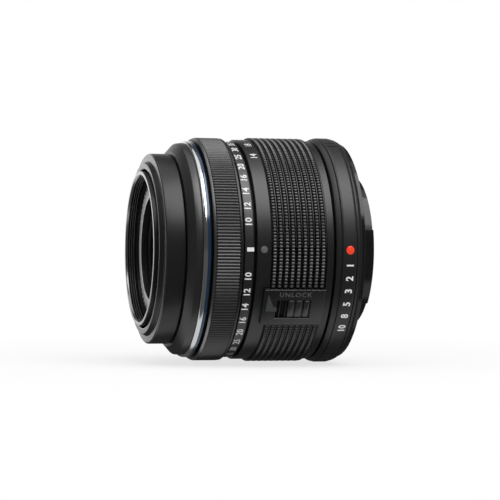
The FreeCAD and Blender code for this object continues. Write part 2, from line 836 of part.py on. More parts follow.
def zoom_ring():
    """Zoom ring, its ribbed grip, the cam barrel inside and the keys that join them."""
    bevel = size.edge_break
    grip_rear = at.zoom_rear + size.grip_setback
    grip_front = grip_rear + size.grip_length
    ring = turned("zoom_ring_blank", (
        (radius.zoom_inner, at.zoom_rear),
        (radius.zoom - bevel, at.zoom_rear),
        (radius.zoom, at.zoom_rear + bevel),
        (radius.zoom, grip_rear - size.seat_fit),
        (radius.grip_seat, grip_rear - size.seat_fit),
        (radius.grip_seat, grip_front + size.seat_fit),
        (radius.zoom, grip_front + size.seat_fit),
        (radius.zoom, at.zoom_front - bevel),
        (radius.zoom - bevel, at.zoom_front),
        (radius.zoom_inner, at.zoom_front)))
    key_station = at.zoom_rear + size.zoom_key_place
    key_end = radius.zoom - 3 * bevel
    plate_rear = at.zoom_rear + size.lock_plate_setback
    plate_front = plate_rear + size.lock_plate_length
    half_plate = size.lock_plate_width / 2
    slack = size.seat_fit
    plate_space = block("lock_plate_space", (radius.grip_seat - 1, -half_plate - slack, plate_rear - slack),
                        (radius.lock_plate + 1, half_plate + slack, plate_front + slack),
                        size.lock_angle.number)
    core = axial_rod("lock_plate_core", radius.grip_seat, plate_rear - 1, plate_front + 1)
    tools = [cut("zoom_ring_recess", plate_space, [core])]
    foot_rear, foot_front = lock_foot_stations()
    half_way = size.slot_fit
    tools.append(turned("lock_window", (
        (radius.zoom_inner - 1, foot_rear - half_way),
        (radius.grip_seat + 1, foot_rear - half_way),
        (radius.grip_seat + 1, foot_front + size.lock_travel + half_way),
        (radius.zoom_inner - 1, foot_front + size.lock_travel + half_way)),
        size.lock_foot_angle + 3, size.lock_angle.number))
    for angle in KEY_ANGLES:
        tools.append(radial_rod("zoom_key_hole_%d" % angle, size.zoom_key_radius, radius.zoom_inner - 1,
                                key_end, key_station, angle))
    piece("zoom_ring", cut("zoom_ring", ring, tools))

    piece("zoom_keys", group("zoom_keys", [
        radial_rod("zoom_key_%d" % angle, size.zoom_key_radius, radius.cam_inner + size.seat_fit,
                   key_end, key_station, angle) for angle in KEY_ANGLES]))

    cam_front = at.index_rear - size.slide_fit
    cam = turned("cam_barrel_blank", (
        (radius.cam_inner, size.cam_start),
        (radius.cam_outer, size.cam_start),
        (radius.cam_outer, cam_front),
        (radius.cam_inner, cam_front)))
    inner = radius.cam_inner.number - 1
    outer = radius.cam_outer.number + 1
    tools = []
    for word, place, travel, angles in (
            ("front", size.front_pin_place, size.front_travel, FRONT_PIN_ANGLES),
            ("rear", size.rear_pin_place, size.rear_travel, REAR_PIN_ANGLES)):
        for angle in angles:
            slot = cam_slot(angle, place.number, travel.number, inner, outer)
            tools.append(shaped("%s_cam_slot_%d" % (word, angle), slot))
    for angle in KEY_ANGLES:
        tools.append(radial_rod("cam_key_hole_%d" % angle, size.zoom_key_radius, radius.cam_inner - 1,
                                radius.cam_outer + 1, key_station, angle))
    piece("cam_barrel", cut("cam_barrel", cam, tools))

    seat = radius.grip_seat
    top = radius.grip
    floor = top - size.grip_groove_depth
    first = grip_rear + (size.grip_length - size.grip_bands * size.grip_band_pitch) / 2
    outline = [(seat, grip_rear), (radius.zoom, grip_rear)]
    for band in range(int(size.grip_bands.number)):
        start = first + band * size.grip_band_pitch
        outline.append((top, start + size.edge_break))
        outline.append((top, start + size.grip_band_land))
        if band < size.grip_bands.number - 1:
            outline.append((floor, start + size.grip_band_land + size.edge_break / 2))
            outline.append((floor, start + size.grip_band_pitch))
    outline.append((radius.zoom, grip_front))
    outline.append((seat, grip_front))
    grip = turned("zoom_grip_blank", outline)
    grip_space = block("grip_gap", (radius.grip_seat - 3, -half_plate - slack, plate_rear - slack),
                       (radius.lock_plate + 1, half_plate + slack, plate_front + slack),
                       size.lock_angle.number)
    piece("zoom_grip", cut("zoom_grip", grip, [grip_space]))


def lock_foot_stations():
    """Rear and front ends of the lock slider's foot, with the lock at rest."""
    knob_rear = at.zoom_rear + size.lock_plate_setback + size.lock_slot_setback
    rear = knob_rear - size.lock_foot_margin
    front = knob_rear + size.lock_slot_length + size.slot_fit
    return rear, front


def lock():
    """Flat lock plate on the zoom ring, its slider with ribbed knob, and the detent leaf."""
    plate_rear = at.zoom_rear + size.lock_plate_setback
    plate_front = plate_rear + size.lock_plate_length
    half = size.lock_plate_width / 2
    angle = size.lock_angle.number
    blank = block("lock_plate_blank", (radius.grip_seat - 1, -half, plate_rear),
                  (radius.lock_plate, half, plate_front), angle)
    core = axial_rod("lock_plate_bore", radius.grip_seat + size.seat_fit / 2, plate_rear - 1, plate_front + 1)
    slot_rear = plate_rear + size.lock_slot_setback
    slot_middle = -size.lock_slot_offset
    half_slot = size.lock_slot_width / 2
    slot = block("lock_slot", (radius.grip_seat - 1, slot_middle - half_slot, slot_rear),
                 (radius.lock_plate + 1, slot_middle + half_slot, slot_rear + size.lock_slot_length), angle)
    piece("lock_plate", cut("lock_plate", blank, [core, slot]))

    foot_top = radius.zoom_inner + size.slot_fit + size.lock_foot_wall
    foot_rear, foot_front = lock_foot_stations()
    piece("lock_slider", turned("lock_slider", (
        (radius.zoom_inner + size.slot_fit, foot_rear),
        (foot_top, foot_rear),
        (foot_top, foot_front),
        (radius.zoom_inner + size.slot_fit, foot_front)), size.lock_foot_angle, angle))

    fit = size.slot_fit
    knob_rear = slot_rear + fit
    knob_low = slot_middle - half_slot + fit
    knob_high = slot_middle + half_slot - fit
    floor = radius.lock_plate - size.edge_break
    stem = block("knob_stem", (radius.grip_seat - 1, knob_low, knob_rear),
                 (floor, knob_high, knob_rear + size.lock_knob_length), angle)
    ribs = []
    gap = (size.lock_knob_length - 3 * size.lock_rib_width) / 2
    for number in range(3):
        start = knob_rear + number * (size.lock_rib_width + gap)
        ribs.append(block("knob_rib_%d" % number, (floor - size.edge_break, knob_low, start),
                          (floor + size.lock_knob_proud, knob_high, start + size.lock_rib_width), angle))
    bore = axial_rod("knob_bore", foot_top, plate_rear - 1, plate_front + 1)
    piece("lock_knob", cut("lock_knob", fused("knob_body", [stem] + ribs), [bore]))

    side = size.lock_foot_angle.number / 2 + 1
    piece("lock_spring", turned("lock_spring", (
        (radius.zoom_inner + size.slot_fit, foot_rear + size.lock_travel),
        (foot_top, foot_rear + size.lock_travel),
        (foot_top, foot_front),
        (radius.zoom_inner + size.slot_fit, foot_front)), 0.6, angle + side))


def focus_ring():
    """Focus ring with its fine ribs between two lands, and the comb that the sensor reads."""
    bevel = size.edge_break.number
    outer = radius.focus.number
    inner = radius.focus_inner.number
    rear = at.focus_rear.number
    front = at.focus_front.number
    rib_rear = rear + size.focus_rib_setback.number
    rib_front = rib_rear + size.focus_rib_length.number
    peak = outer - bevel / 4
    ribs = toothed_wire(outer - size.focus_rib_depth.number, peak, int(size.focus_rib_count.number), 0.46)
    land = (Vector(outer, 0, rib_rear), Vector(outer, 0, rear + 2 * bevel), Vector(outer - 2 * bevel, 0, rear),
            Vector(inner, 0, rear), Vector(inner, 0, front), Vector(outer - 2 * bevel, 0, front),
            Vector(outer, 0, rib_front + bevel / 2), Vector(outer, 0, rib_front))
    skin = Part.makePolygon(land).revolve(Vector(0, 0, 0), Vector(0, 0, 1), 360)
    rib_sides = ribs.extrude(Vector(0, 0, size.focus_rib_length.number))
    rib_sides.translate(Vector(0, 0, rib_rear))
    faces = skin.Faces + rib_sides.Faces
    faces += [face_between(circle_wire(outer), ribs, station) for station in (rib_rear, rib_front)]
    shell = Part.Shell(faces)
    shell.sewShape()
    piece("focus_ring", shaped("focus_ring", Part.Solid(shell)))

    comb_outer = inner - size.seat_fit.number
    comb_inner = comb_outer - size.comb_wall.number
    comb_rear = (rear + front - size.comb_length.number) / 2
    teeth = toothed_wire(comb_inner, comb_inner + size.comb_wall.number / 2, int(size.comb_teeth.number), 0.4)
    comb = face_between(circle_wire(comb_outer), teeth, comb_rear)
    comb = comb.extrude(Vector(0, 0, size.comb_length.number))
    piece("focus_comb", shaped("focus_comb", comb))


def front_barrel():
    """Sliding front barrel with its rollers, the cap on its front and the filter ring within."""
    inner = radius.front_inner
    outer = size.front_barrel_radius
    flange_bore = size.rim_radius + size.slide_fit
    blank = turned("front_barrel_blank", (
        (inner, size.front_barrel_start),
        (outer, size.front_barrel_start),
        (outer, at.barrel_front),
        (flange_bore, at.barrel_front),
        (flange_bore, at.barrel_flange),
        (inner, at.barrel_flange)))
    tools = []
    half = radius.slot
    for angle in REAR_PIN_ANGLES:
        tools.append(block("clearance_run_%d" % angle, (inner - 1, -half, size.front_barrel_start),
                           (outer + 1, half, size.rear_pin_place), angle))
        tools.append(radial_rod("clearance_end_%d" % angle, half, inner - 1, outer + 1,
                                size.rear_pin_place, angle))
    for angle in FRONT_PIN_ANGLES:
        tools.append(radial_rod("front_pin_hole_%d" % angle, size.pin_radius, inner - 1, outer + 1,
                                size.front_pin_place, angle))
    for angle in FRONT_SCREW_ANGLES:
        tools.append(axial_rod("barrel_screw_hole_%d" % angle, size.front_screw_radius + size.screw_fit,
                               at.barrel_flange, at.barrel_front, size.front_screw_circle, angle))
    piece("front_barrel", cut("front_barrel", blank, tools))

    shank = (size.pin_radius, inner + size.seat_fit, outer + size.seat_fit)
    roller = (size.roller_radius, outer + size.seat_fit, radius.cam_outer - 2 * size.seat_fit)
    piece("front_rollers", stepped_pins("front_rollers", (shank, roller), size.front_pin_place,
                                        FRONT_PIN_ANGLES))

    bevel = size.edge_break
    neck_inner = size.neck_radius - size.neck_wall
    cone_rear = at.cap_front - size.cap_cone_length
    cap = turned("front_cap_blank", (
        (outer + size.seat_fit, at.cap_rear),
        (size.cap_radius - bevel, at.cap_rear),
        (size.cap_radius, at.cap_rear + bevel),
        (size.cap_waist_radius, at.cap_rear + 4 * bevel),
        (size.cap_waist_radius - bevel, cone_rear),
        (size.cap_front_radius, at.cap_front),
        (size.neck_radius, at.cap_front),
        (size.neck_radius, at.neck_front),
        (neck_inner, at.neck_front),
        (neck_inner, at.cap_seat),
        (outer + size.seat_fit, at.cap_seat)))
    add_sectors(cap, "neck_lug", (
        (size.neck_radius - bevel, at.lug_rear),
        (size.lug_radius, at.lug_rear),
        (size.lug_radius, at.lug_front),
        (size.neck_radius - bevel, at.lug_front)), size.lug_angle, 3)
    screw_end = at.filter_rear + size.front_screw_length
    pilots = [axial_rod("cap_pilot_%d" % angle, size.front_screw_radius, at.cap_seat, screw_end,
                        size.front_screw_circle, angle) for angle in FRONT_SCREW_ANGLES]
    piece("front_cap", cut("front_cap", cap, pilots))

    head = (size.front_screw_head_radius, at.filter_rear - size.front_screw_head_height, at.filter_rear)
    shank = (size.front_screw_radius, at.filter_rear, screw_end)
    piece("front_screws", screws("front_screws", head, shank, size.front_screw_circle, FRONT_SCREW_ANGLES))

    flange_radius = inner - size.slide_fit
    lip = 1.5 * bevel
    ledge = size.bezel_inner + 4 * bevel
    ring = turned("filter_ring_blank", (
        (size.filter_inner, at.filter_rear),
        (flange_radius, at.filter_rear),
        (flange_radius, at.filter_flange),
        (size.rim_radius, at.filter_flange),
        (size.rim_radius, at.rim - bevel),
        (size.rim_radius - bevel, at.rim),
        (size.thread_radius + lip, at.rim),
        (size.thread_radius, at.rim - lip),
        (size.thread_radius, at.thread_floor),
        (size.filter_inner, at.thread_floor),
        (size.filter_inner, at.ledge_front),
        (ledge, at.ledge_front),
        (ledge, at.ledge_front - size.filter_ledge),
        (size.filter_inner, at.ledge_front - size.filter_ledge)))
    holes = [axial_rod("filter_screw_hole_%d" % angle, size.front_screw_radius + size.screw_fit,
                       at.filter_rear, at.filter_flange, size.front_screw_circle, angle)
             for angle in FRONT_SCREW_ANGLES]
    piece("filter_ring", cut("filter_ring", ring, holes))


def decoration_ring():
    """Removable ring in front, with claws that turn in behind the lugs of the neck."""
    bevel = size.edge_break
    inner = size.deco_radius - size.deco_wall
    ceiling = at.deco_lip - size.deco_lip_thickness
    ring = turned("decoration_ring", (
        (inner, at.deco_rear),
        (size.deco_radius - bevel, at.deco_rear),
        (size.deco_radius, at.deco_rear + bevel),
        (size.deco_radius, at.deco_front - 2 * bevel),
        (size.deco_radius - 2 * bevel, at.deco_front),
        (size.deco_step_radius, at.deco_front),
        (size.deco_lip_radius, at.deco_lip),
        (size.deco_bore + bevel, at.deco_lip),
        (size.deco_bore, at.deco_lip - bevel),
        (size.deco_bore, ceiling),
        (inner, ceiling)))
    claw_front = at.lug_rear - size.slide_fit
    claw_inner = size.neck_radius + size.slide_fit
    add_sectors(ring, "deco_claw", (
        (claw_inner, claw_front - size.lug_length),
        (inner + bevel, claw_front - size.lug_length),
        (inner + bevel, claw_front),
        (claw_inner, claw_front)), size.deco_claw_angle, 3)
    piece("decoration_ring", ring)


def front_group():
    """Bezel, front cell, its retaining ring and spacers, and the first three elements."""
    fit = size.seat_fit
    bevel = size.edge_break
    face = at.bezel_rear + size.bezel_thickness
    piece("bezel_ring", turned("bezel_ring", (
        (size.bezel_inner, at.bezel_rear),
        (size.filter_inner - fit, at.bezel_rear),
        (size.filter_inner - fit, face - size.bezel_step),
        (size.bezel_face_radius, face - size.bezel_step),
        (size.bezel_face_radius, face),
        (size.bezel_opening + bevel, face),
        (size.bezel_opening, face - bevel),
        (size.bezel_opening - 3 * bevel, at.cell_front + fit),
        (size.bezel_inner, at.cell_front + fit))))

    bore_one = size.first_glass_radius + fit
    bore_two = size.second_glass_radius + fit
    bore_three = size.third_glass_radius + fit
    rear_lip = size.third_glass_radius - 4 * size.edge_break
    seat_retainer = at.cell_front - size.retainer_depth
    seat_one = seat_retainer - 4 * size.retainer_depth
    seat_two = seat_one - 3.5
    seat_three = at.cell_rear + 4 * size.edge_break
    piece("front_cell", turned("front_cell", (
        (rear_lip, at.cell_rear),
        (size.cell_radius, at.cell_rear),
        (size.cell_radius, at.cell_flange_rear),
        (size.filter_inner - fit, at.cell_flange_rear),
        (size.filter_inner - fit, at.cell_flange_front),
        (size.bezel_inner - fit, at.cell_flange_front),
        (size.bezel_inner - fit, at.cell_front),
        (size.retainer_radius + fit, at.cell_front),
        (size.retainer_radius + fit, seat_retainer),
        (bore_one, seat_retainer),
        (bore_one, seat_one),
        (bore_two, seat_one),
        (bore_two, seat_two),
        (bore_three, seat_two),
        (bore_three, seat_three),
        (rear_lip, seat_three))))
    piece("front_retainer", turned("front_retainer", (
        (size.retainer_inner, seat_retainer + fit),
        (size.retainer_radius, seat_retainer + fit),
        (size.retainer_radius, at.cell_front - fit),
        (size.retainer_inner + 3 * size.edge_break, at.cell_front - fit),
        (size.retainer_inner, at.cell_front - 3 * size.edge_break))))

    first_front = seat_retainer + size.first_glass_front
    piece("front_element", glass("front_element", size.first_glass_radius, seat_one + fit, first_front,
                                 -16, 44))
    second_front = seat_two + 2.4
    piece("second_element", glass("second_element", size.second_glass_radius, seat_two + fit, second_front,
                                  -19, 70))
    third_front = seat_two - size.retainer_depth
    piece("third_element", glass("third_element", size.third_glass_radius, seat_three + fit, third_front,
                                 90, 26))
    wall = 4 * size.edge_break
    spacers = []
    for number, (outer, rear, front) in enumerate((
            (size.second_glass_radius, second_front + fit, seat_one),
            (size.third_glass_radius, third_front + fit, seat_two))):
        spacers.append(turned("cell_spacer_%d" % number, (
            (outer - wall, rear), (outer, rear), (outer, front), (outer - wall, front))))
    piece("cell_spacers", group("cell_spacers", spacers))


def rear_carriage():
    """Rear carriage with its rollers and rear cover, the middle cell and the rear glass."""
    fit = size.seat_fit
    inner = size.carriage_radius - size.carriage_wall
    tube = turned("carriage_blank", (
        (inner, size.carriage_start),
        (size.carriage_radius, size.carriage_start),
        (size.carriage_radius, at.bulkhead_front),
        (size.bulkhead_bore, at.bulkhead_front),
        (size.bulkhead_bore, at.bulkhead_rear),
        (inner, at.bulkhead_rear)))
    tools = [radial_rod("rear_pin_hole_%d" % angle, size.pin_radius, inner - 1, size.carriage_radius + 1,
                        size.rear_pin_place, angle) for angle in REAR_PIN_ANGLES]
    rod_end = at.bulkhead_rear + size.iris_floor
    for angle in ROD_ANGLES:
        tools.append(axial_rod("rod_seat_%d" % angle, size.rod_radius, at.bulkhead_rear, rod_end,
                               size.rod_circle, angle))
    piece("rear_carriage", cut("rear_carriage", tube, tools))

    shank = (size.pin_radius, inner + fit, size.carriage_radius + fit)
    roller = (size.roller_radius, size.carriage_radius + fit, radius.cam_outer - 2 * fit)
    piece("rear_rollers", stepped_pins("rear_rollers", (shank, roller), size.rear_pin_place, REAR_PIN_ANGLES))

    boss_rear = at.cover_rear - size.cover_boss_length / 2
    boss_front = size.carriage_start + size.cover_boss_length
    bore = size.rear_glass_radius + fit
    cover = turned("carriage_cover_blank", (
        (bore, boss_rear),
        (size.cover_boss_radius, boss_rear),
        (size.cover_boss_radius, at.cover_rear),
        (size.carriage_radius - fit, at.cover_rear),
        (size.carriage_radius - fit, size.carriage_start - fit),
        (size.cover_boss_radius, size.carriage_start - fit),
        (size.cover_boss_radius, boss_front),
        (bore, boss_front)))
    rod_start = at.cover_rear + size.iris_floor
    screw_start = at.cover_rear + size.iris_floor
    tools = [axial_rod("cover_rod_seat_%d" % angle, size.rod_radius, rod_start, size.carriage_start,
                       size.rod_circle, angle) for angle in ROD_ANGLES]
    tools.append(axial_rod("cover_screw_seat", size.lead_screw_radius + size.rod_fit, screw_start - fit,
                           size.carriage_start, size.motor_circle, MOTOR_ANGLE))
    piece("carriage_cover", cut("carriage_cover", cover, tools))
    piece("rear_element", glass("rear_element", size.rear_glass_radius, boss_rear + 2 * fit,
                                boss_front - 2 * fit, 34, 60))
    piece("guide_rods", group("guide_rods", [
        axial_rod("guide_rod_%d" % angle, size.rod_radius, rod_start, rod_end, size.rod_circle, angle)
        for angle in ROD_ANGLES]))

    cell_rear = at.bulkhead_rear - size.middle_cell_length
    cell_bore = size.middle_glass_radius + fit
    lip = size.middle_glass_radius - 4 * size.edge_break
    piece("middle_cell", turned("middle_cell", (
        (lip, cell_rear),
        (size.middle_cell_radius, cell_rear),
        (size.middle_cell_radius, at.bulkhead_rear - size.cover_thickness),
        (size.middle_flange_radius, at.bulkhead_rear - size.cover_thickness),
        (size.middle_flange_radius, at.bulkhead_rear - fit),
        (cell_bore, at.bulkhead_rear - fit),
        (cell_bore, cell_rear + 4 * size.edge_break),
        (lip, cell_rear + 4 * size.edge_break))))
    glass_rear = cell_rear + 5 * size.edge_break
    joint = glass_rear + 2.2
    glass_front = at.bulkhead_rear - 2 * size.edge_break
    piece("sixth_element", glass("sixth_element", size.middle_glass_radius, glass_rear, joint, 60, -20))
    piece("fifth_element", glass("fifth_element", size.middle_glass_radius, joint, glass_front, 200, 24))

    motor_rear = at.bulkhead_rear - size.motor_length
    body = axial_rod("focus_motor_can", size.motor_radius, motor_rear, at.bulkhead_rear - fit,
                     size.motor_circle, MOTOR_ANGLE)
    socket = axial_rod("focus_motor_socket", size.lead_screw_radius + size.rod_fit, motor_rear, motor_rear + 1,
                       size.motor_circle, MOTOR_ANGLE)
    piece("focus_motor", cut("focus_motor", body, [socket]))
    piece("lead_screw", group("lead_screw", [
        axial_rod("lead_screw_bar", size.lead_screw_radius, screw_start, motor_rear + 1 - fit,
                  size.motor_circle, MOTOR_ANGLE)]))


def focus_carriage():
    """Focusing carriage on its two guide rods, driven along by the lead screw."""
    start = size.focus_cell_start
    end = start + size.focus_cell_length
    bore = size.focus_glass_radius + size.seat_fit
    arm_rear = start + size.focus_arm_thickness
    arm_front = arm_rear + size.focus_arm_thickness
    half_arm = size.focus_sleeve_radius
    cell = axial_rod("focus_cell", size.focus_cell_radius, start, end)
    solids = [cell]
    tools = [axial_rod("focus_cell_bore", bore, start - 1, end + 1)]
    sleeves = ((ROD_ANGLES[0], size.rod_circle, size.rod_radius, size.focus_sleeve_length),
               (ROD_ANGLES[1], size.rod_circle, size.rod_radius, size.focus_arm_thickness),
               (MOTOR_ANGLE, size.motor_circle, size.lead_screw_radius, size.focus_arm_thickness))
    for angle, circle, bar, length in sleeves:
        solids.append(block("focus_arm_%d" % angle, (bore, -half_arm, arm_rear), (circle, half_arm, arm_front),
                            angle))
        solids.append(axial_rod("focus_sleeve_%d" % angle, half_arm, arm_rear, arm_rear + length, circle, angle))
        tools.append(axial_rod("focus_sleeve_bore_%d" % angle, bar + size.rod_fit, arm_rear - 1,
                               arm_rear + length + 1, circle, angle))
    piece("focus_carriage", cut("focus_carriage", fused("focus_carriage_body", solids), tools))
    piece("seventh_element", glass("seventh_element", size.focus_glass_radius, start + 2 * size.edge_break,
                                   end - 2 * size.edge_break, -30, 55))


def blade_shape(level):
    """One iris blade, open, with its pivot at angle 0: a crescent with a pin at each face."""
    pivot = size.blade_pivot_circle.number
    inner = size.iris_aperture.number + size.edge_break.number * 3
    wide = pivot + 0.9

    def spot(reach, angle):
        turn = math.radians(angle)
        return Vector(reach * math.cos(turn), reach * math.sin(turn), 0)

    tip = inner + 1.2
    edges = [
        Part.Arc(spot(inner, -8), spot(inner, 26), spot(inner, 60)).toShape(),
        Part.LineSegment(spot(inner, 60), spot(tip, 60)).toShape(),
        Part.Arc(spot(tip, 60), spot(wide - 1.4, 36), spot(wide, 14)).toShape(),
        Part.Arc(spot(wide, 14), spot(wide, 3), spot(wide, -8)).toShape(),
        Part.LineSegment(spot(wide, -8), spot(inner, -8)).toShape()]
    sheet_face = Part.Face(Part.Wire(edges))
    thickness = size.blade_thickness.number
    blade = sheet_face.extrude(Vector(0, 0, thickness))
    blade.translate(Vector(0, 0, level))
    pin = size.blade_pin_radius.number
    floor = at.iris_rear.number + 2 * size.seat_fit.number
    ceiling = iris_ring_rear().number + size.iris_ring_thickness.number - size.seat_fit.number
    blade = blade.fuse(Part.makeCylinder(pin, level + thickness - floor, spot(pivot, 0) + Vector(0, 0, floor)))
    blade = blade.fuse(Part.makeCylinder(pin, ceiling - level, spot(pivot, 10) + Vector(0, 0, level)))
    return blade


def iris_ring_rear():
    """Rear face of the iris drive ring, just ahead of the last blade."""
    stack = BLADE_COUNT * size.blade_pitch
    return at.iris_floor + stack + 2 * size.blade_pitch


def iris_ring_slot(steps=6):
    """The space that one blade's drive pin needs in the ring, as ring and blade turn together."""
    pivot = size.blade_pivot_circle.number
    half = size.blade_pin_radius.number + size.rod_fit.number
    rear = iris_ring_rear().number - 1
    depth = size.iris_ring_thickness.number + 2
    hinge = Vector(pivot, 0, 0)
    arm = Vector(pivot * math.cos(math.radians(10)), pivot * math.sin(math.radians(10)), 0) - hinge
    places = []
    for step in range(steps + 1):
        share = step / steps
        blade_turn = Rotation(Vector(0, 0, 1), size.blade_turn.number * share)
        ring_turn = Rotation(Vector(0, 0, 1), size.iris_ring_turn.number * share)
        places.append(ring_turn.multVec(hinge + blade_turn.multVec(arm)))
    shapes = []
    for place in places:
        shapes.append(Part.makeCylinder(half, depth, place + Vector(0, 0, rear)))
    for start, end in zip(places, places[1:]):
        run = end - start
        across = Vector(-run.y, run.x, 0).normalize() * half
        corners = [start - across, end - across, end + across, start + across]
        face = Part.Face(Part.makePolygon(corners + corners[:1]))
        shape = face.extrude(Vector(0, 0, depth))
        shape.translate(Vector(0, 0, rear))
        shapes.append(shape)
    return shapes[0].multiFuse(shapes[1:])


def iris():
    """Iris: housing, blades on their own levels, drive ring and cover with the fourth element."""
    fit = size.seat_fit
    bevel = size.edge_break
    wall_inner = size.iris_ring_radius + size.slide_fit
    housing = turned("iris_housing_blank", (
        (size.iris_aperture + bevel, at.iris_rear),
        (size.iris_radius, at.iris_rear),
        (size.iris_radius, at.iris_front),
        (wall_inner, at.iris_front),
        (wall_inner, at.iris_floor),
        (size.iris_aperture + bevel, at.iris_floor)))
    step = 360 / BLADE_COUNT
    pivots = [axial_rod("blade_pivot_hole_%d" % number, size.blade_pin_radius + size.screw_fit,
                        at.iris_rear + fit, at.iris_floor, size.blade_pivot_circle, number * step)
              for number in range(BLADE_COUNT)]
    piece("iris_housing", cut("iris_housing", housing, pivots))

    for number in range(BLADE_COUNT):
        level = at.iris_floor + (number + 1) * size.blade_pitch
        blade = blade_shape(level.number)
        blade.rotate(Vector(0, 0, 0), Vector(0, 0, 1), number * step)
        name = "iris_blade_%d" % (number + 1)
        piece(name, shaped(name, blade))

    ring_rear = iris_ring_rear()
    ring = turned("iris_ring_blank", (
        (size.iris_ring_bore, ring_rear),
        (size.iris_ring_radius, ring_rear),
        (size.iris_ring_radius, ring_rear + size.iris_ring_thickness),
        (size.iris_ring_bore, ring_rear + size.iris_ring_thickness)))
    slots = []
    for number in range(BLADE_COUNT):
        slot = iris_ring_slot()
        slot.rotate(Vector(0, 0, 0), Vector(0, 0, 1), number * step)
        slots.append(shaped("iris_ring_slot_%d" % number, slot))
    piece("iris_ring", cut("iris_ring", ring, slots))

    cover_rear = at.iris_front + fit
    disc_front = cover_rear + size.iris_cover_thickness
    cell_front = disc_front + size.fourth_cell_length
    lip = size.fourth_glass_radius - 4 * bevel
    bore = size.fourth_glass_radius + fit
    piece("iris_cover", turned("iris_cover", (
        (lip, cover_rear),
        (size.iris_radius, cover_rear),
        (size.iris_radius, disc_front),
        (size.fourth_cell_radius, disc_front),
        (size.fourth_cell_radius, cell_front),
        (bore, cell_front),
        (bore, disc_front),
        (lip, disc_front))))
    piece("fourth_element", glass("fourth_element", size.fourth_glass_radius, disc_front + fit,
                                  cell_front - 2 * fit, 40, 28))


def check(objects):
    """Stop if any object failed, or if a piece is empty or not sound."""
    for item in objects:
        for word in ("Invalid", "Error"):
            if word in item.State:
                raise RuntimeError("%s is in state %s" % (item.Label, item.State))
    for item in pieces:
        if item.Shape.isNull() or not item.Shape.isValid() or not item.Shape.Solids:
            raise RuntimeError("%s has no sound shape" % item.Label)


for build in (mount, rear_barrel, fixed_barrel, index_and_trim, zoom_ring, lock, focus_ring, front_barrel,
              decoration_ring, front_group, rear_carriage, focus_carriage, iris):
    build()
doc.recompute()
check(doc.Objects)
os.makedirs("parts", exist_ok=True)
for item in pieces:
    item.Shape.exportStep("parts/%s.step" % item.Label)
    print("%-18s %2d solids %9.2f mm3" % (item.Label, len(item.Shape.Solids), item.Shape.Volume))
print("%d pieces" % len(pieces))
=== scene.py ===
"""Looks of a collapsible zoom lens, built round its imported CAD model.

The lens lies along Y: forward is -Y, up is +Z, and the index marks face +X. Sizes are in
millimetres in the dataclasses below, and become metres where a mesh is made.
"""
import logging
import math
from collections.abc import Iterable, Iterator
from contextlib import contextmanager
from dataclasses import dataclass, field
from enum import Enum

import bpy
from mathutils import Matrix, Vector

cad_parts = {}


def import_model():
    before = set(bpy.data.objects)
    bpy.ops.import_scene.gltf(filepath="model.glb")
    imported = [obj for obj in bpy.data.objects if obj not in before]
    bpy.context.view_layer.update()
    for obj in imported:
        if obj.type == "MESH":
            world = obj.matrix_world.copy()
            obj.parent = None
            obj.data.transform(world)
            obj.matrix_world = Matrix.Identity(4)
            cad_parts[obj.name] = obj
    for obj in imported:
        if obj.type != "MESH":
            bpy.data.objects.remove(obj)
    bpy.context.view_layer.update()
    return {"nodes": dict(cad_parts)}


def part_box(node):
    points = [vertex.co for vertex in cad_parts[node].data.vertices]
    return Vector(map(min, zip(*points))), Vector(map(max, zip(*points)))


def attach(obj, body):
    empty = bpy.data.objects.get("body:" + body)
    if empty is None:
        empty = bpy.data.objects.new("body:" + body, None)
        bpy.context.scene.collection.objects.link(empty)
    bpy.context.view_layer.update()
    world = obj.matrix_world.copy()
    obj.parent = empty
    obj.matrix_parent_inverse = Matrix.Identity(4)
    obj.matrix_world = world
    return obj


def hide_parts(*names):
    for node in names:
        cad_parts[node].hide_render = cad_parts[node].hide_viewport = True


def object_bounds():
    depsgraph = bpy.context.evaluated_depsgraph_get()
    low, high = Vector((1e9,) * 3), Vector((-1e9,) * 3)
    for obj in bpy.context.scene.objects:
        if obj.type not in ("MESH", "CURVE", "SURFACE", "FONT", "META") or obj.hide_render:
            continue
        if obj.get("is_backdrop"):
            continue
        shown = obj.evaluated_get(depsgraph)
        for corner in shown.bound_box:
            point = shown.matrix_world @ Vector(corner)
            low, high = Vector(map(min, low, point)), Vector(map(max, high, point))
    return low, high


Point = tuple[float, float]
Pair = tuple[float, float]
Section = tuple[Point, ...]

# Lengths below are in millimetres and angles in degrees.
MM = 0.001
ROUND_STEPS = 288
MERGE_REACH = 0.002
INK_DEPTH = 0.03
INK_SINK = 0.01
LETTER_HALF_DEPTH = 0.02
NUMERAL_SHARE = 0.7
SLOPE_SHARE = 0.7
FLAT_ANGLE = 0.6
BROKEN_EDGE_ANGLE = 40.0
TURNED_ANGLE = 32.0
COPY_ANGLE = 35.0
BLOCK_ANGLE = 60.0
WHITE_LIGHT = (1.0, 1.0, 1.0, 1.0)
log = logging.getLogger("lens")


class Body(Enum):
    """The bodies that outer pieces ride on."""

    MOUNT = "mount"
    ZOOM = "zoom"
    LOCK = "lock"
    FOCUS = "focus"
    FRONT = "front"
    DECORATION = "decoration"


class Facing(Enum):
    """Which way the top of a marking points."""

    FORWARD = "forward"
    ROUND = "round"


# Shader trees and shared effects


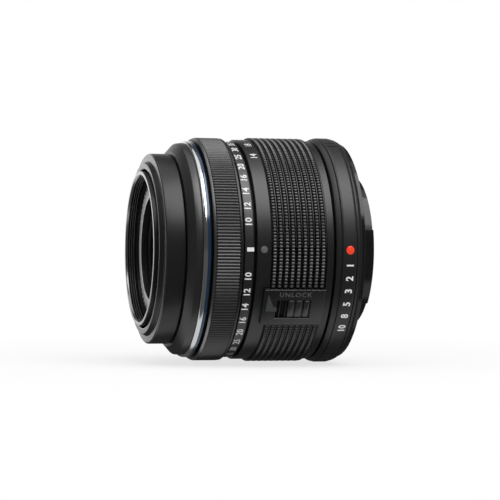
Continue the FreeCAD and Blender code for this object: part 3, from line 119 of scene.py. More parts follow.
class Tree:
    """A shader tree, with one call for each node and all that feeds it."""

    def __init__(self, tree: bpy.types.NodeTree) -> None:
        """Hold the tree's nodes and links."""
        self.nodes = tree.nodes
        self.links = tree.links

    def feed(self, node: bpy.types.Node, inputs: dict[str | int, object]) -> None:
        """Set or link a node's inputs.

        Args:
            node: The node.
            inputs: A value, or the socket it comes from, for each input's name or number.
        """
        for key, value in inputs.items():
            if isinstance(value, bpy.types.NodeSocket):
                self.links.new(value, node.inputs[key])
            else:
                node.inputs[key].default_value = value

    def add(self, kind: str, inputs: dict[str | int, object] | None = None,
            **settings: object) -> bpy.types.Node:
        """Add a node, set it up and feed it.

        Args:
            kind: The node's type.
            inputs: What feeds it, as in feed.
            settings: Its properties, set before it is fed.

        Returns:
            The new node.
        """
        node = self.nodes.new(kind)
        for setting, value in settings.items():
            setattr(node, setting, value)
        self.feed(node, inputs or {})
        return node

    def combined(self, operation: str, first: object, second: object) -> bpy.types.NodeSocket:
        """Join two values or sockets by one operation.

        Args:
            operation: The Math node's operation.
            first: The first value.
            second: The second value.

        Returns:
            A socket with the result.
        """
        return self.add("ShaderNodeMath", {0: first, 1: second}, operation=operation).outputs[0]

    def ramp(self, value: bpy.types.NodeSocket, zero: float, one: float) -> bpy.types.NodeSocket:
        """Turn a value into a smooth step.

        Args:
            value: The value.
            zero: Where the step is 0.
            one: Where the step is 1.

        Returns:
            A socket with the step.
        """
        rising = one > zero
        step = self.add("ShaderNodeMapRange", {
            "Value": value, "From Min": min(zero, one), "From Max": max(zero, one),
            "To Min": 0.0 if rising else 1.0, "To Max": 1.0 if rising else 0.0},
            interpolation_type="SMOOTHSTEP")
        return step.outputs["Result"]

    def seen_by_eye(self, path: bpy.types.Node) -> bpy.types.NodeSocket:
        """Tell rays that see the background from rays that light the lens.

        Args:
            path: The tree's Light Path node.

        Returns:
            A socket that is 1 for camera, glossy and transmission rays.
        """
        total = path.outputs["Is Camera Ray"]
        for name in ("Is Glossy Ray", "Is Transmission Ray"):
            total = self.combined("MAXIMUM", total, path.outputs[name])
        return total


def new_group(name: str, inputs: dict[str, float], outputs: dict[str, str]) -> bpy.types.NodeTree:
    """Make an empty shader node group with named sockets.

    Args:
        name: The group's name.
        inputs: Socket names with their default values.
        outputs: Socket names with their socket types.

    Returns:
        The new group.
    """
    group = bpy.data.node_groups.new(name, "ShaderNodeTree")
    for socket, value in inputs.items():
        item = group.interface.new_socket(socket, in_out="INPUT", socket_type="NodeSocketFloat")
        item.default_value = value
    for socket, kind in outputs.items():
        group.interface.new_socket(socket, in_out="OUTPUT", socket_type=kind)
    return group


def new_material(name: str) -> tuple[bpy.types.Material, Tree, bpy.types.Node]:
    """Make a plain material.

    Args:
        name: The material's name.

    Returns:
        The material, its tree and its shader.
    """
    material = bpy.data.materials.new(name)
    material.use_nodes = True
    tree = Tree(material.node_tree)
    return material, tree, tree.nodes["Principled BSDF"]


class Effects:
    """The shader node groups that several finishes share, each made once."""

    def __init__(self) -> None:
        """Make both groups."""
        self.grain = self.make_grain()
        self.smudge = self.make_smudge()

    def make_grain(self) -> bpy.types.NodeTree:
        """Make the fine moulded or blasted grain.

        Returns:
            A group that puts out a bumped normal.
        """
        group = new_group("Fine grain", {"Scale": 3000.0, "Strength": 0.1},
                          {"Normal": "NodeSocketVector"})
        tree = Tree(group)
        start = tree.add("NodeGroupInput")
        place = tree.add("ShaderNodeTexCoord")
        noise = tree.add("ShaderNodeTexNoise", {
            "Vector": place.outputs["Object"], "Scale": start.outputs["Scale"], "Detail": 3.0})
        bump = tree.add("ShaderNodeBump", {
            "Height": noise.outputs["Fac"], "Strength": start.outputs["Strength"], "Distance": 0.00005})
        tree.add("NodeGroupOutput", {"Normal": bump.outputs["Normal"]})
        return group

    def make_smudge(self) -> bpy.types.NodeTree:
        """Make the slow change in gloss that handling leaves.

        Returns:
            A group that puts out a roughness near the one it is given.
        """
        group = new_group("Handling smudge", {"Roughness": 0.4, "Amount": 0.06},
                          {"Roughness": "NodeSocketFloat"})
        tree = Tree(group)
        start = tree.add("NodeGroupInput")
        place = tree.add("ShaderNodeTexCoord")
        noise = tree.add("ShaderNodeTexNoise", {
            "Vector": place.outputs["Object"], "Scale": 90.0, "Detail": 4.0})
        centred = tree.combined("SUBTRACT", noise.outputs["Fac"], 0.5)
        change = tree.combined("MULTIPLY", centred, start.outputs["Amount"])
        total = tree.combined("ADD", start.outputs["Roughness"], change)
        tree.add("NodeGroupOutput", {"Roughness": total})
        return group


# Finishes


@dataclass(frozen=True)
class Finish:
    """A plain finish: plastic, paint, metal or ink."""

    name: str
    colour: tuple[float, float, float]
    roughness: float
    metallic: float = 0.0
    coat: float = 0.0
    specular: float = 0.5
    grain_scale: float = 3000.0
    grain: float = 0.08
    smudge: float = 0.06

    def make(self, effects: Effects) -> bpy.types.Material:
        """Build the material.

        Args:
            effects: The shared node groups.

        Returns:
            The new material.
        """
        material, tree, shader = new_material(self.name)
        smudge = tree.add("ShaderNodeGroup", {"Roughness": self.roughness, "Amount": self.smudge},
                          node_tree=effects.smudge)
        tree.feed(shader, {
            "Base Color": (*self.colour, 1.0), "Metallic": self.metallic, "Coat Weight": self.coat,
            "Coat Roughness": 0.08, "Specular IOR Level": self.specular,
            "Roughness": smudge.outputs["Roughness"]})
        if self.grain > 0:
            grain = tree.add("ShaderNodeGroup", {"Scale": self.grain_scale, "Strength": self.grain},
                             node_tree=effects.grain)
            tree.feed(shader, {"Normal": grain.outputs["Normal"]})
        return material


@dataclass(frozen=True)
class CoatedGlass:
    """Optical glass with a coloured anti-reflection coating."""

    name: str
    tint: tuple[float, float, float]
    coating: tuple[float, float, float]

    def make(self, effects: Effects) -> bpy.types.Material:
        """Build the material.

        Args:
            effects: The shared node groups, which glass doesn't use.

        Returns:
            The new material.
        """
        material, tree, shader = new_material(self.name)
        tree.feed(shader, {
            "Base Color": (*self.tint, 1.0), "Roughness": 0.02, "IOR": 1.5,
            "Transmission Weight": 1.0, "Specular Tint": (*self.coating, 1.0)})
        return material


BLACK_PLASTIC = Finish("Satin black plastic", (0.007, 0.007, 0.0075), 0.4, specular=0.75)
PLATE_PLASTIC = Finish("Lock plate plastic", (0.004, 0.004, 0.0045), 0.27, specular=1.0)
# Light grey for the lock plate's upper edge chamfer: a painted highlight.
PLATE_EDGE_HIGHLIGHT = Finish("Painted plate edge highlight", (0.24, 0.24, 0.245), 0.3, specular=1.0)
# Lighter grey metal on the filter thread's crests: a painted highlight that draws them as bright lines.
THREAD_CREST_HIGHLIGHT = Finish("Thread crest painted highlight", (0.16, 0.16, 0.165), 0.3, metallic=0.5)
LAND_METAL = Finish("Focus land metal", (0.3, 0.3, 0.305), 0.35, metallic=1.0)
FOCUS_PLASTIC = Finish("Focus bar plastic", (0.026, 0.026, 0.026), 0.42, specular=1.0, grain=0.0)
BARREL_PLASTIC = Finish("Rear barrel plastic", (0.010, 0.010, 0.0105), 0.44, specular=0.75)
GRIP_PLASTIC = Finish("Grip pad plastic", (0.03, 0.03, 0.031), 0.34, specular=1.0, grain=0.0)
# Darker, duller plastic on groove floors and hidden seats: painted shade in the recesses.
FLOOR_SHADE_PLASTIC = Finish("Groove floor painted shade", (0.004, 0.004, 0.004), 0.7, specular=0.25, grain=0.1)
BAND_PLASTIC = Finish("Index band paint", (0.011, 0.011, 0.0115), 0.4, specular=1.0)
MOUNT_PLASTIC = Finish("Glossy mount plastic", (0.008, 0.008, 0.009), 0.16, smudge=0.08, grain=0.03)
# Dark plastic of the inner parts; it is also painted on the barrel shoulder and the screw recesses as painted
# shade.
INNER_PLASTIC_AND_SHADE = Finish("Inner dark plastic and painted shade", (0.006, 0.006, 0.006), 0.6, specular=0.3)
FRONT_PLASTIC = Finish("Front ring plastic", (0.009, 0.009, 0.0095), 0.38, specular=0.55)
FACE_PLASTIC = Finish("Front face gloss", (0.02, 0.02, 0.0205), 0.26, specular=1.0, coat=0.5)
CAP_PLASTIC = Finish("Front cap plastic", (0.012, 0.012, 0.0125), 0.38, specular=1.0)
RIM_METAL = Finish("Filter rim metal", (0.45, 0.45, 0.46), 0.24, metallic=1.0, coat=0.6, grain=0.03)
BEZEL_PAINT = Finish("Bezel paint", (0.8, 0.785, 0.76), 0.3, metallic=0.4, specular=1.0, grain=0.4,
                     grain_scale=2200.0)
KNOB_PLASTIC = Finish("Knob plastic", (0.014, 0.014, 0.015), 0.28, specular=1.0)
BLUE_LACQUER = Finish("Blue lacquer", (0.014, 0.045, 0.095), 0.2, metallic=0.4, coat=0.5, specular=0.8,
                      grain=0.0)
CHROME = Finish("Bright trim", (0.86, 0.87, 0.88), 0.15, metallic=1.0, grain=0.0, smudge=0.03)
RED_INSERT = Finish("Orange-red insert", (0.95, 0.05, 0.013), 0.3, grain=0.0)
WHITE_INK = Finish("White ink", (0.8, 0.8, 0.8), 0.5, grain=0.0)
GREY_INK = Finish("Grey ink", (0.1, 0.103, 0.105), 0.5, grain=0.0)
SLATE_INK = Finish("Slate ink", (0.042, 0.048, 0.048), 0.5, grain=0.0)
SWITCH_INK = Finish("Switch ink", (0.085, 0.092, 0.092), 0.5, grain=0.0)
STEEL = Finish("Turned steel", (0.5, 0.5, 0.51), 0.3, metallic=1.0)
BRASS = Finish("Turned brass", (0.65, 0.47, 0.2), 0.3, metallic=1.0)
GOLD = Finish("Gold plating", (0.8, 0.55, 0.2), 0.22, metallic=1.0)
ANODISED = Finish("Black anodised metal", (0.02, 0.02, 0.022), 0.35, metallic=0.6)
BLADE_COAT = Finish("Blade coating", (0.02, 0.02, 0.02), 0.45, metallic=0.3)
SOLDER_MASK = Finish("Solder mask", (0.01, 0.08, 0.04), 0.35)
FELT = Finish("Flocked felt", (0.006, 0.006, 0.006), 0.95, grain=0.4, grain_scale=6000.0)
FRONT_GLASS = CoatedGlass("Front glass", (0.35, 0.45, 1.0), (0.25, 0.3, 1.0))
INNER_GLASS = CoatedGlass("Inner glass", (0.6, 0.7, 1.0), (0.35, 0.5, 0.9))

CAD_FINISHES = {
    MOUNT_PLASTIC: ("mount_plate",),
    STEEL: ("mount_screws", "zoom_keys", "lock_spring", "front_screws", "guide_rods",
            "focus_motor", "lead_screw"),
    INNER_PLASTIC_AND_SHADE: ("contact_block", "rear_baffle", "fixed_barrel", "front_cell", "iris_housing",
                   "iris_cover", "carriage_cover", "front_barrel"),
    GOLD: ("contact_pins",),
    BARREL_PLASTIC: ("rear_barrel",),
    RED_INSERT: ("mount_index_dot",),
    SOLDER_MASK: ("main_board",),
    BAND_PLASTIC: ("index_ring",),
    BLUE_LACQUER: ("blue_ring",),
    CHROME: ("chrome_ring",),
    KNOB_PLASTIC: ("focus_sensor", "focus_comb", "lock_knob", "lock_slider", "rear_carriage",
                   "middle_cell", "focus_carriage"),
    FELT: ("barrel_seal",),
    BLACK_PLASTIC: ("zoom_ring", "lock_plate", "focus_ring"),
    CAP_PLASTIC: ("front_cap",),
    FRONT_PLASTIC: ("decoration_ring",),
    BEZEL_PAINT: ("bezel_ring",),
    GRIP_PLASTIC: ("zoom_grip",),
    ANODISED: ("cam_barrel", "front_retainer", "cell_spacers"),
    BRASS: ("front_rollers", "rear_rollers"),
    RIM_METAL: ("filter_ring",),
    FRONT_GLASS: ("front_element",),
    INNER_GLASS: ("second_element", "third_element", "fourth_element", "fifth_element",
                  "sixth_element", "seventh_element", "rear_element"),
    BLADE_COAT: ("iris_ring",) + tuple("iris_blade_%d" % number for number in range(1, 8)),
}


class Paintbox:
    """Makes each finish once and puts it on pieces."""

    def __init__(self) -> None:
        """Start with no materials."""
        self.effects = Effects()
        self.made: dict[str, bpy.types.Material] = {}

    def material(self, finish: Finish | CoatedGlass) -> bpy.types.Material:
        """Return a finish's material, and make it the first time."""
        if finish.name not in self.made:
            self.made[finish.name] = finish.make(self.effects)
        return self.made[finish.name]

    def dress(self, piece: bpy.types.Object, finish: Finish | CoatedGlass) -> None:
        """Give a whole piece one finish."""
        piece.data.materials.clear()
        piece.data.materials.append(self.material(finish))

    def dress_frame(self, nodes: dict[str, bpy.types.Object]) -> None:
        """Give each CAD node its finish.

        Args:
            nodes: The CAD nodes by name.
        """
        for finish, names in CAD_FINISHES.items():
            for name in names:
                self.dress(nodes[name], finish)


# Modelling helpers


@dataclass(frozen=True)
class Span:
    """Where a CAD node lies: its outer radius and its two stations, in millimetres."""

    radius: float
    rear: float
    front: float

    @classmethod
    def of(cls, node: str) -> "Span":
        """Measure a node of the frame."""
        low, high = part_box(node)
        return cls(max(high.x, high.z, -low.x, -low.z) / MM, -high.y / MM, -low.y / MM)


def start_clean() -> None:
    """Leave edit mode and deselect everything."""
    if bpy.context.mode != "OBJECT":
        bpy.ops.object.mode_set(mode="OBJECT")
    bpy.ops.object.select_all(action="DESELECT")


def only(piece: bpy.types.Object) -> None:
    """Select one object alone and make it active."""
    start_clean()
    piece.select_set(True)
    bpy.context.view_layer.objects.active = piece


def apply_all(piece: bpy.types.Object) -> None:
    """Apply a piece's modifiers in order."""
    only(piece)
    for modifier in list(piece.modifiers):
        bpy.ops.object.modifier_apply(modifier=modifier.name)


def softened(outline: list[tuple[float, float]], reach: float) -> list[tuple[float, float]]:
    """Round every corner of a closed outline.

    Args:
        outline: Corners as (radius, station).
        reach: How far along each side the rounding starts, at most a third of the side.

    Returns:
        The outline with three points on each corner's curve.
    """
    rounded = []
    count = len(outline)
    for index, corner in enumerate(outline):
        here = Vector(corner)
        before = Vector(outline[index - 1]) - here
        after = Vector(outline[(index + 1) % count]) - here
        start = here + before.normalized() * min(reach, before.length / 3)
        end = here + after.normalized() * min(reach, after.length / 3)
        middle = start * 0.25 + here * 0.5 + end * 0.25
        rounded += [tuple(start), tuple(middle), tuple(end)]
    return rounded


@contextmanager
def editing(whole: bool = True) -> Iterator[None]:
    """Work on the active mesh in edit mode.

    Args:
        whole: Whether all of it is selected first.
    """
    bpy.ops.object.mode_set(mode="EDIT")
    if whole:
        bpy.ops.mesh.select_all(action="SELECT")
    yield
    bpy.ops.object.mode_set(mode="OBJECT")


def turn(name: str, outline: Iterable[Point], reach: float, start: float = 0.0,
         sweep: float = 360.0) -> bpy.types.Object:
    """Spin a closed outline about the lens axis.

    Args:
        name: The piece's name.
        outline: Corners as (radius, station).
        reach: Rounding of the corners.
        start: Angle of the first section, counted from the index towards up.
        sweep: How far the outline is spun.

    Returns:
        The new piece.
    """
    start_clean()
    corners = softened(list(outline), reach)
    whole = sweep >= 360.0
    bpy.ops.mesh.primitive_circle_add(vertices=len(corners), radius=MM,
                                      fill_type="NOTHING" if whole else "NGON")
    piece = bpy.context.object
    piece.name = name
    turn_to = math.radians(start)
    for vertex, (radius, station) in zip(piece.data.vertices, corners):
        vertex.co = Vector((radius * math.cos(turn_to), -station, radius * math.sin(turn_to))) * MM
    with editing():
        bpy.ops.mesh.spin(steps=ROUND_STEPS, angle=-math.radians(sweep), center=(0, 0, 0), axis=(0, 1, 0))
        bpy.ops.mesh.select_all(action="SELECT")
        bpy.ops.mesh.remove_doubles(threshold=MERGE_REACH * MM)
        bpy.ops.mesh.normals_make_consistent(inside=False)
    bpy.ops.object.shade_smooth_by_angle(angle=math.radians(TURNED_ANGLE))
    return piece


def placed(radius: float, angle: float, station: float, facing: Facing) -> Matrix:
    """Make the placement of a thing that lies flat on a barrel.

    Args:
        radius: Distance from the axis, in millimetres.
        angle: Degrees from the index towards up.
        station: Distance in front of the flange, in millimetres.
        facing: Which way its top points.

    Returns:
        A matrix that sends x to its reading direction, y to its top and z outwards.
    """
    around = math.radians(angle)
    out = Vector((math.cos(around), 0, math.sin(around)))
    side = Vector((-math.sin(around), 0, math.cos(around)))
    forward = Vector((0, -1, 0))
    across, top = (side, forward) if facing is Facing.FORWARD else (-forward, side)
    matrix = Matrix((across, top, out)).transposed().to_4x4()
    matrix.translation = out * radius * MM + forward * station * MM
    return matrix


def settle(piece: bpy.types.Object, matrix: Matrix) -> None:
    """Put a piece in place and apply that place to its mesh."""
    only(piece)
    piece.matrix_world = matrix
    bpy.ops.object.transform_apply(location=True, rotation=True, scale=True)


def join(name: str, parts: list[bpy.types.Object]) -> bpy.types.Object:
    """Join parts into one piece.

    Args:
        name: The joined piece's name.
        parts: The parts, of which the first stays.

    Returns:
        The joined piece.
    """
    only(parts[0])
    for part in parts[1:]:
        part.select_set(True)
    bpy.ops.object.join()
    parts[0].name = name
    return parts[0]


def copy_of_node(node: str, width: float) -> bpy.types.Object:
    """Copy a CAD node's mesh, merge it, break its sharp edges and even its shading.

    Args:
        node: The CAD node's name.
        width: Width of the broken edges, in millimetres.

    Returns:
        The copy.
    """
    start_clean()
    source = bpy.data.objects[node]
    piece = bpy.data.objects.new(node + "_look", source.data.copy())
    bpy.context.scene.collection.objects.link(piece)
    only(piece)
    with editing():
        bpy.ops.mesh.remove_doubles(threshold=MERGE_REACH * MM)
        bpy.ops.mesh.dissolve_limited(angle_limit=math.radians(FLAT_ANGLE))
    bevel = piece.modifiers.new("Broken edges", "BEVEL")
    bevel.width = width * MM
    bevel.segments = 2
    bevel.limit_method = "ANGLE"
    bevel.angle_limit = math.radians(BROKEN_EDGE_ANGLE)
    apply_all(piece)
    bpy.ops.object.shade_smooth_by_angle(angle=math.radians(COPY_ANGLE))
    even = piece.modifiers.new("Even shading", "WEIGHTED_NORMAL")
    even.keep_sharp = True
    apply_all(piece)
    return piece


def ring_of(piece: bpy.types.Object, step: float, count: int) -> None:
    """Repeat a piece round the lens axis.

    Args:
        piece: The piece to repeat.
        step: Degrees between neighbours, counted from the index towards up.
        count: How many there are in all.
    """
    start_clean()
    bpy.ops.object.empty_add(location=(0, 0, 0))
    pivot = bpy.context.object
    pivot.rotation_euler = (0, -math.radians(step), 0)
    row = piece.modifiers.new("Round", "ARRAY")
    row.count = count
    row.use_relative_offset = False
    row.use_object_offset = True
    row.offset_object = pivot
    bpy.context.view_layer.update()
    apply_all(piece)


def rounded_block(name: str, size: tuple[float, float, float], offset: float,
                  segments: int, lengthwise: bool = False) -> bpy.types.Object:
    """Model a block round the origin with its top edges rounded.

    Args:
        name: The piece's name.
        size: Its three sizes, in millimetres.
        offset: Width of the rounding, in millimetres.
        segments: Steps of the rounding.
        lengthwise: Whether only the top edges along y are rounded, and the facets stay flat.

    Returns:
        The block, top up.
    """
    start_clean()
    bpy.ops.mesh.primitive_cube_add(size=1.0)
    piece = bpy.context.object
    piece.name = name
    piece.scale = tuple(length * MM for length in size)
    bpy.ops.object.transform_apply(location=True, rotation=True, scale=True)
    for edge in piece.data.edges:
        first, second = (piece.data.vertices[index].co for index in edge.vertices)
        along = abs(first.x - second.x) < abs(first.y - second.y)
        edge.select = first.z > 0 and second.z > 0 and (along or not lengthwise)
    with editing(whole=False):
        bpy.ops.mesh.bevel(offset=offset * MM, segments=segments, affect="EDGES")
    if not lengthwise:
        bpy.ops.object.shade_smooth_by_angle(angle=math.radians(BLOCK_ANGLE))
    return piece


def sloped_bar(name: str, size: tuple[float, float, float], slope: float,
               seat: Matrix) -> bpy.types.Object:
    """Model a bar with two steep flanks and put it in place.

    Args:
        name: The piece's name.
        size: Its width, length and height, in millimetres.
        slope: Width of each flank, in millimetres.
        seat: Where its middle goes.

    Returns:
        The bar.
    """
    width, length, height = size
    bar = rounded_block(name, (width, length, height / SLOPE_SHARE), slope, 1, lengthwise=True)
    settle(bar, seat @ Matrix.Scale(SLOPE_SHARE, 4, (0, 0, 1)))
    return bar


def flat_shape(name: str, outline: list[Point]) -> bpy.types.Object:
    """Make a thin printed shape, face up.

    Args:
        name: The piece's name.
        outline: Its corners along x and y, in millimetres.

    Returns:
        The shape.
    """
    start_clean()
    bpy.ops.mesh.primitive_circle_add(vertices=len(outline), radius=MM, fill_type="NGON")
    piece = bpy.context.object
    piece.name = name
    for vertex, (across, up) in zip(piece.data.vertices, outline):
        vertex.co = Vector((across, up, 0)) * MM
    with editing():
        bpy.ops.mesh.extrude_region_move(TRANSFORM_OT_translate={"value": (0, 0, INK_DEPTH * MM)})
        bpy.ops.mesh.select_all(action="SELECT")
        bpy.ops.mesh.normals_make_consistent(inside=False)
    return piece


def flat_bar(name: str, width: float, height: float) -> bpy.types.Object:
    """Make a thin printed bar round the origin, face up.

    Args:
        name: The piece's name.
        width: Size along x, in millimetres.
        height: Size along y, in millimetres.

    Returns:
        The bar.
    """
    across, up = width / 2, height / 2
    return flat_shape(name, [(-across, -up), (across, -up), (across, up), (-across, up)])


def carve(piece: bpy.types.Object, cutter: bpy.types.Object) -> None:
    """Cut one closed mesh out of another and remove it."""
    only(piece)
    cut = piece.modifiers.new("Carve", "BOOLEAN")
    cut.operation = "DIFFERENCE"
    cut.object = cutter
    apply_all(piece)
    bpy.data.objects.remove(cutter)
    only(piece)
    bpy.ops.object.shade_smooth_by_angle(angle=math.radians(TURNED_ANGLE))


def flat_text(name: str, words: str, height: float, weight: float,
              spacing: float = 1.0) -> bpy.types.Object:
    """Make lettering as a thin mesh round the origin.

    Args:
        name: The piece's name.
        words: What it reads.
        height: Height of a numeral, in millimetres.
        weight: Thickening of the strokes, in millimetres.
        spacing: Spacing of the characters as a share of the usual.

    Returns:
        The lettering, face up.
    """
    start_clean()
    bpy.ops.object.text_add()
    piece = bpy.context.object
    piece.name = name
    piece.data.body = words
    piece.data.align_x = "CENTER"
    piece.data.align_y = "CENTER"
    piece.data.size = height / NUMERAL_SHARE * MM
    piece.data.offset = weight * MM
    piece.data.space_character = spacing
    piece.data.extrude = LETTER_HALF_DEPTH * MM
    piece.data.resolution_u = 3
    bpy.ops.object.convert(target="MESH")
    return bpy.context.object


def numerals_round(numerals: Iterable[tuple[str, float]], radius: float, station: float,
                   height: float, weight: float) -> list[bpy.types.Object]:
    """Make numerals that stand round a barrel with their tops forward.

    Args:
        numerals: What each reads, and its angle from the index towards up.
        radius: The barrel's radius, in millimetres.
        station: Where their middles lie, in millimetres.
        height: Height of a numeral, in millimetres.
        weight: Thickening of the strokes, in millimetres.

    Returns:
        The numerals, in place.
    """
    marks = []
    for words, angle in numerals:
        mark = flat_text("numeral", words, height, weight)
        settle(mark, placed(radius, angle, station, Facing.FORWARD))
        marks.append(mark)
    return marks


def paint_where(piece: bpy.types.Object, material: bpy.types.Material, low: Point, high: Point) -> None:
    """Give a second material to the faces of a turned piece inside a window.

    Args:
        piece: The turned piece, already dressed.
        material: The second material.
        low: Least radius and station of a face's middle.
        high: Greatest radius and station of a face's middle.
    """
    piece.data.materials.append(material)
    last = len(piece.data.materials) - 1
    for face in piece.data.polygons:
        reach = math.hypot(face.center.x, face.center.z) / MM
        station = -face.center.y / MM
        if low[0] <= reach <= high[0] and low[1] <= station <= high[1]:
            face.material_index = last


def finish_piece(piece: bpy.types.Object, body: Body, replaced: str | None = None) -> None:
    """Args:
        piece: The piece, in place.
        body: The body it rides on.
        replaced: The CAD node it stands for, if any.
    """
    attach(piece, body.value)
    if replaced is not None:
        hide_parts(replaced)
    log.info("%s: %d faces on %s", piece.name, len(piece.data.polygons), body.value)


def finish_marks(name: str, marks: list[bpy.types.Object], paint: Paintbox, body: Body) -> None:
    """Args:
        name: The piece's name.
        marks: The marks, in place.
        paint: The finishes.
        body: The body they ride on.
    """
    ink = join(name, marks)
    paint.dress(ink, WHITE_INK)
    finish_piece(ink, body)


# Sub-assemblies


@dataclass(frozen=True)
class TurnedPart:
    """A ring turned from one section, with other finishes inside some windows."""

    node: str
    section: Section
    rounding: float
    finish: Finish
    body: Body
    slot: str = "black_plastic"
    windows: tuple[tuple[Finish, Point, Point], ...] = ()

    def build(self, paint: Paintbox) -> None:
        ring = turn(self.node + "_look", self.section, self.rounding)
        paint.dress(ring, self.finish)
        for finish, low, high in self.windows:
            paint_where(ring, paint.material(finish), low, high)
        finish_piece(ring, self.body, self.node)


@dataclass
class RearBarrel:
    """The rear barrel with its two grooves, its fine ribs and its small numerals."""

    span: Span = field(default_factory=lambda: Span.of("rear_barrel"))
    front_radius: float = 27.5
    front_edge: tuple[float, float, float] = (0.12, 0.3, 0.1)
    bore: float = 26.3
    collar: float = 0.96
    collar_bore: float = 20.5
    rounding: float = 0.08
    groove_places: Pair = (1.41, 5.1)
    groove_half: float = 0.15
    groove_depth: float = 0.45
    groove_lips: Pair = (0.12, 0.16)
    slope_start: float = 0.6
    shoulder_drop: float = 0.7
    shoulder_reach: float = 1.9
    shade_from: float = -0.1
    shade_to: float = 0.75
    numeral_station: float = 3.0
    numeral_height: float = 1.7
    numeral_weight: float = 0.07
    numerals: tuple[tuple[str, float], ...] = (
        ("1", -7.5), ("2", -14.0), ("3", -20.5), ("5", -27.5), ("8", -34.5), ("10", -42.5))
    rib_length: float = 3.1
    rib_width: float = 0.28
    rib_depth: float = 0.16
    rib_rounding: float = 0.05
    rib_step: float = 4.9
    rib_count: int = 11

    def build(self, paint: Paintbox) -> None:
        rear = self.span.rear
        barrel = turn("rear_barrel_look", self.outline(), self.rounding)
        self.cut_ribs(barrel)
        paint.dress(barrel, BARREL_PLASTIC)
        # The rear shoulder gets the dark inner plastic: painted shade, darker and duller than the rest of the
        # barrel.
        paint_where(barrel, paint.material(INNER_PLASTIC_AND_SHADE), (self.collar_bore, rear + self.shade_from),
                    (self.span.radius, rear + self.shade_to))
        finish_piece(barrel, Body.MOUNT, "rear_barrel")
        marks = numerals_round(self.numerals, self.span.radius, rear + self.numeral_station,
                               self.numeral_height, self.numeral_weight)
        finish_marks("rear_barrel_numerals", marks, paint, Body.MOUNT)

    def outline(self) -> list[Point]:
        """The barrel's section: the shoulder, two grooves, the front slope, then the bore."""
        outer, rear, end = self.span.radius, self.span.rear, self.span.front
        back, front = (rear + place for place in self.groove_places)
        half, drop = self.groove_half, self.shoulder_drop
        floor = outer - self.groove_depth
        return [
            (self.collar_bore, rear),
            (outer - drop, rear),
            (outer - drop / 2, rear + self.shoulder_reach / 3),
            (outer - drop / 4, back - half),
            (floor, back),
            (outer - drop / 8, back + half),
            (outer, rear + self.shoulder_reach),
            (outer, front - self.slope_start),
            (outer - self.groove_lips[0], front - half),
            (floor, front),
            (outer - self.groove_lips[1], front + half),
            (self.front_radius + self.front_edge[0], end - self.front_edge[1]),
            (self.front_radius - self.front_edge[2], end),
            (self.bore, end),
            (self.bore, rear + self.collar),
            (self.collar_bore, rear + self.collar)]

    def cut_ribs(self, barrel: bpy.types.Object) -> None:
        """Cut the gaps between the fine ribs at the top and at the bottom."""
        station = self.span.rear + sum(self.groove_places) / 2
        for middle in (90.0, -90.0):
            gap = rounded_block("rib gap", (self.rib_width, self.rib_length, 2 * self.rib_depth),
                                self.rib_rounding, 1)
            first = middle - self.rib_step * (self.rib_count - 1) / 2
            settle(gap, placed(self.span.radius, first, station, Facing.FORWARD))
            ring_of(gap, self.rib_step, self.rib_count)
            carve(barrel, gap)


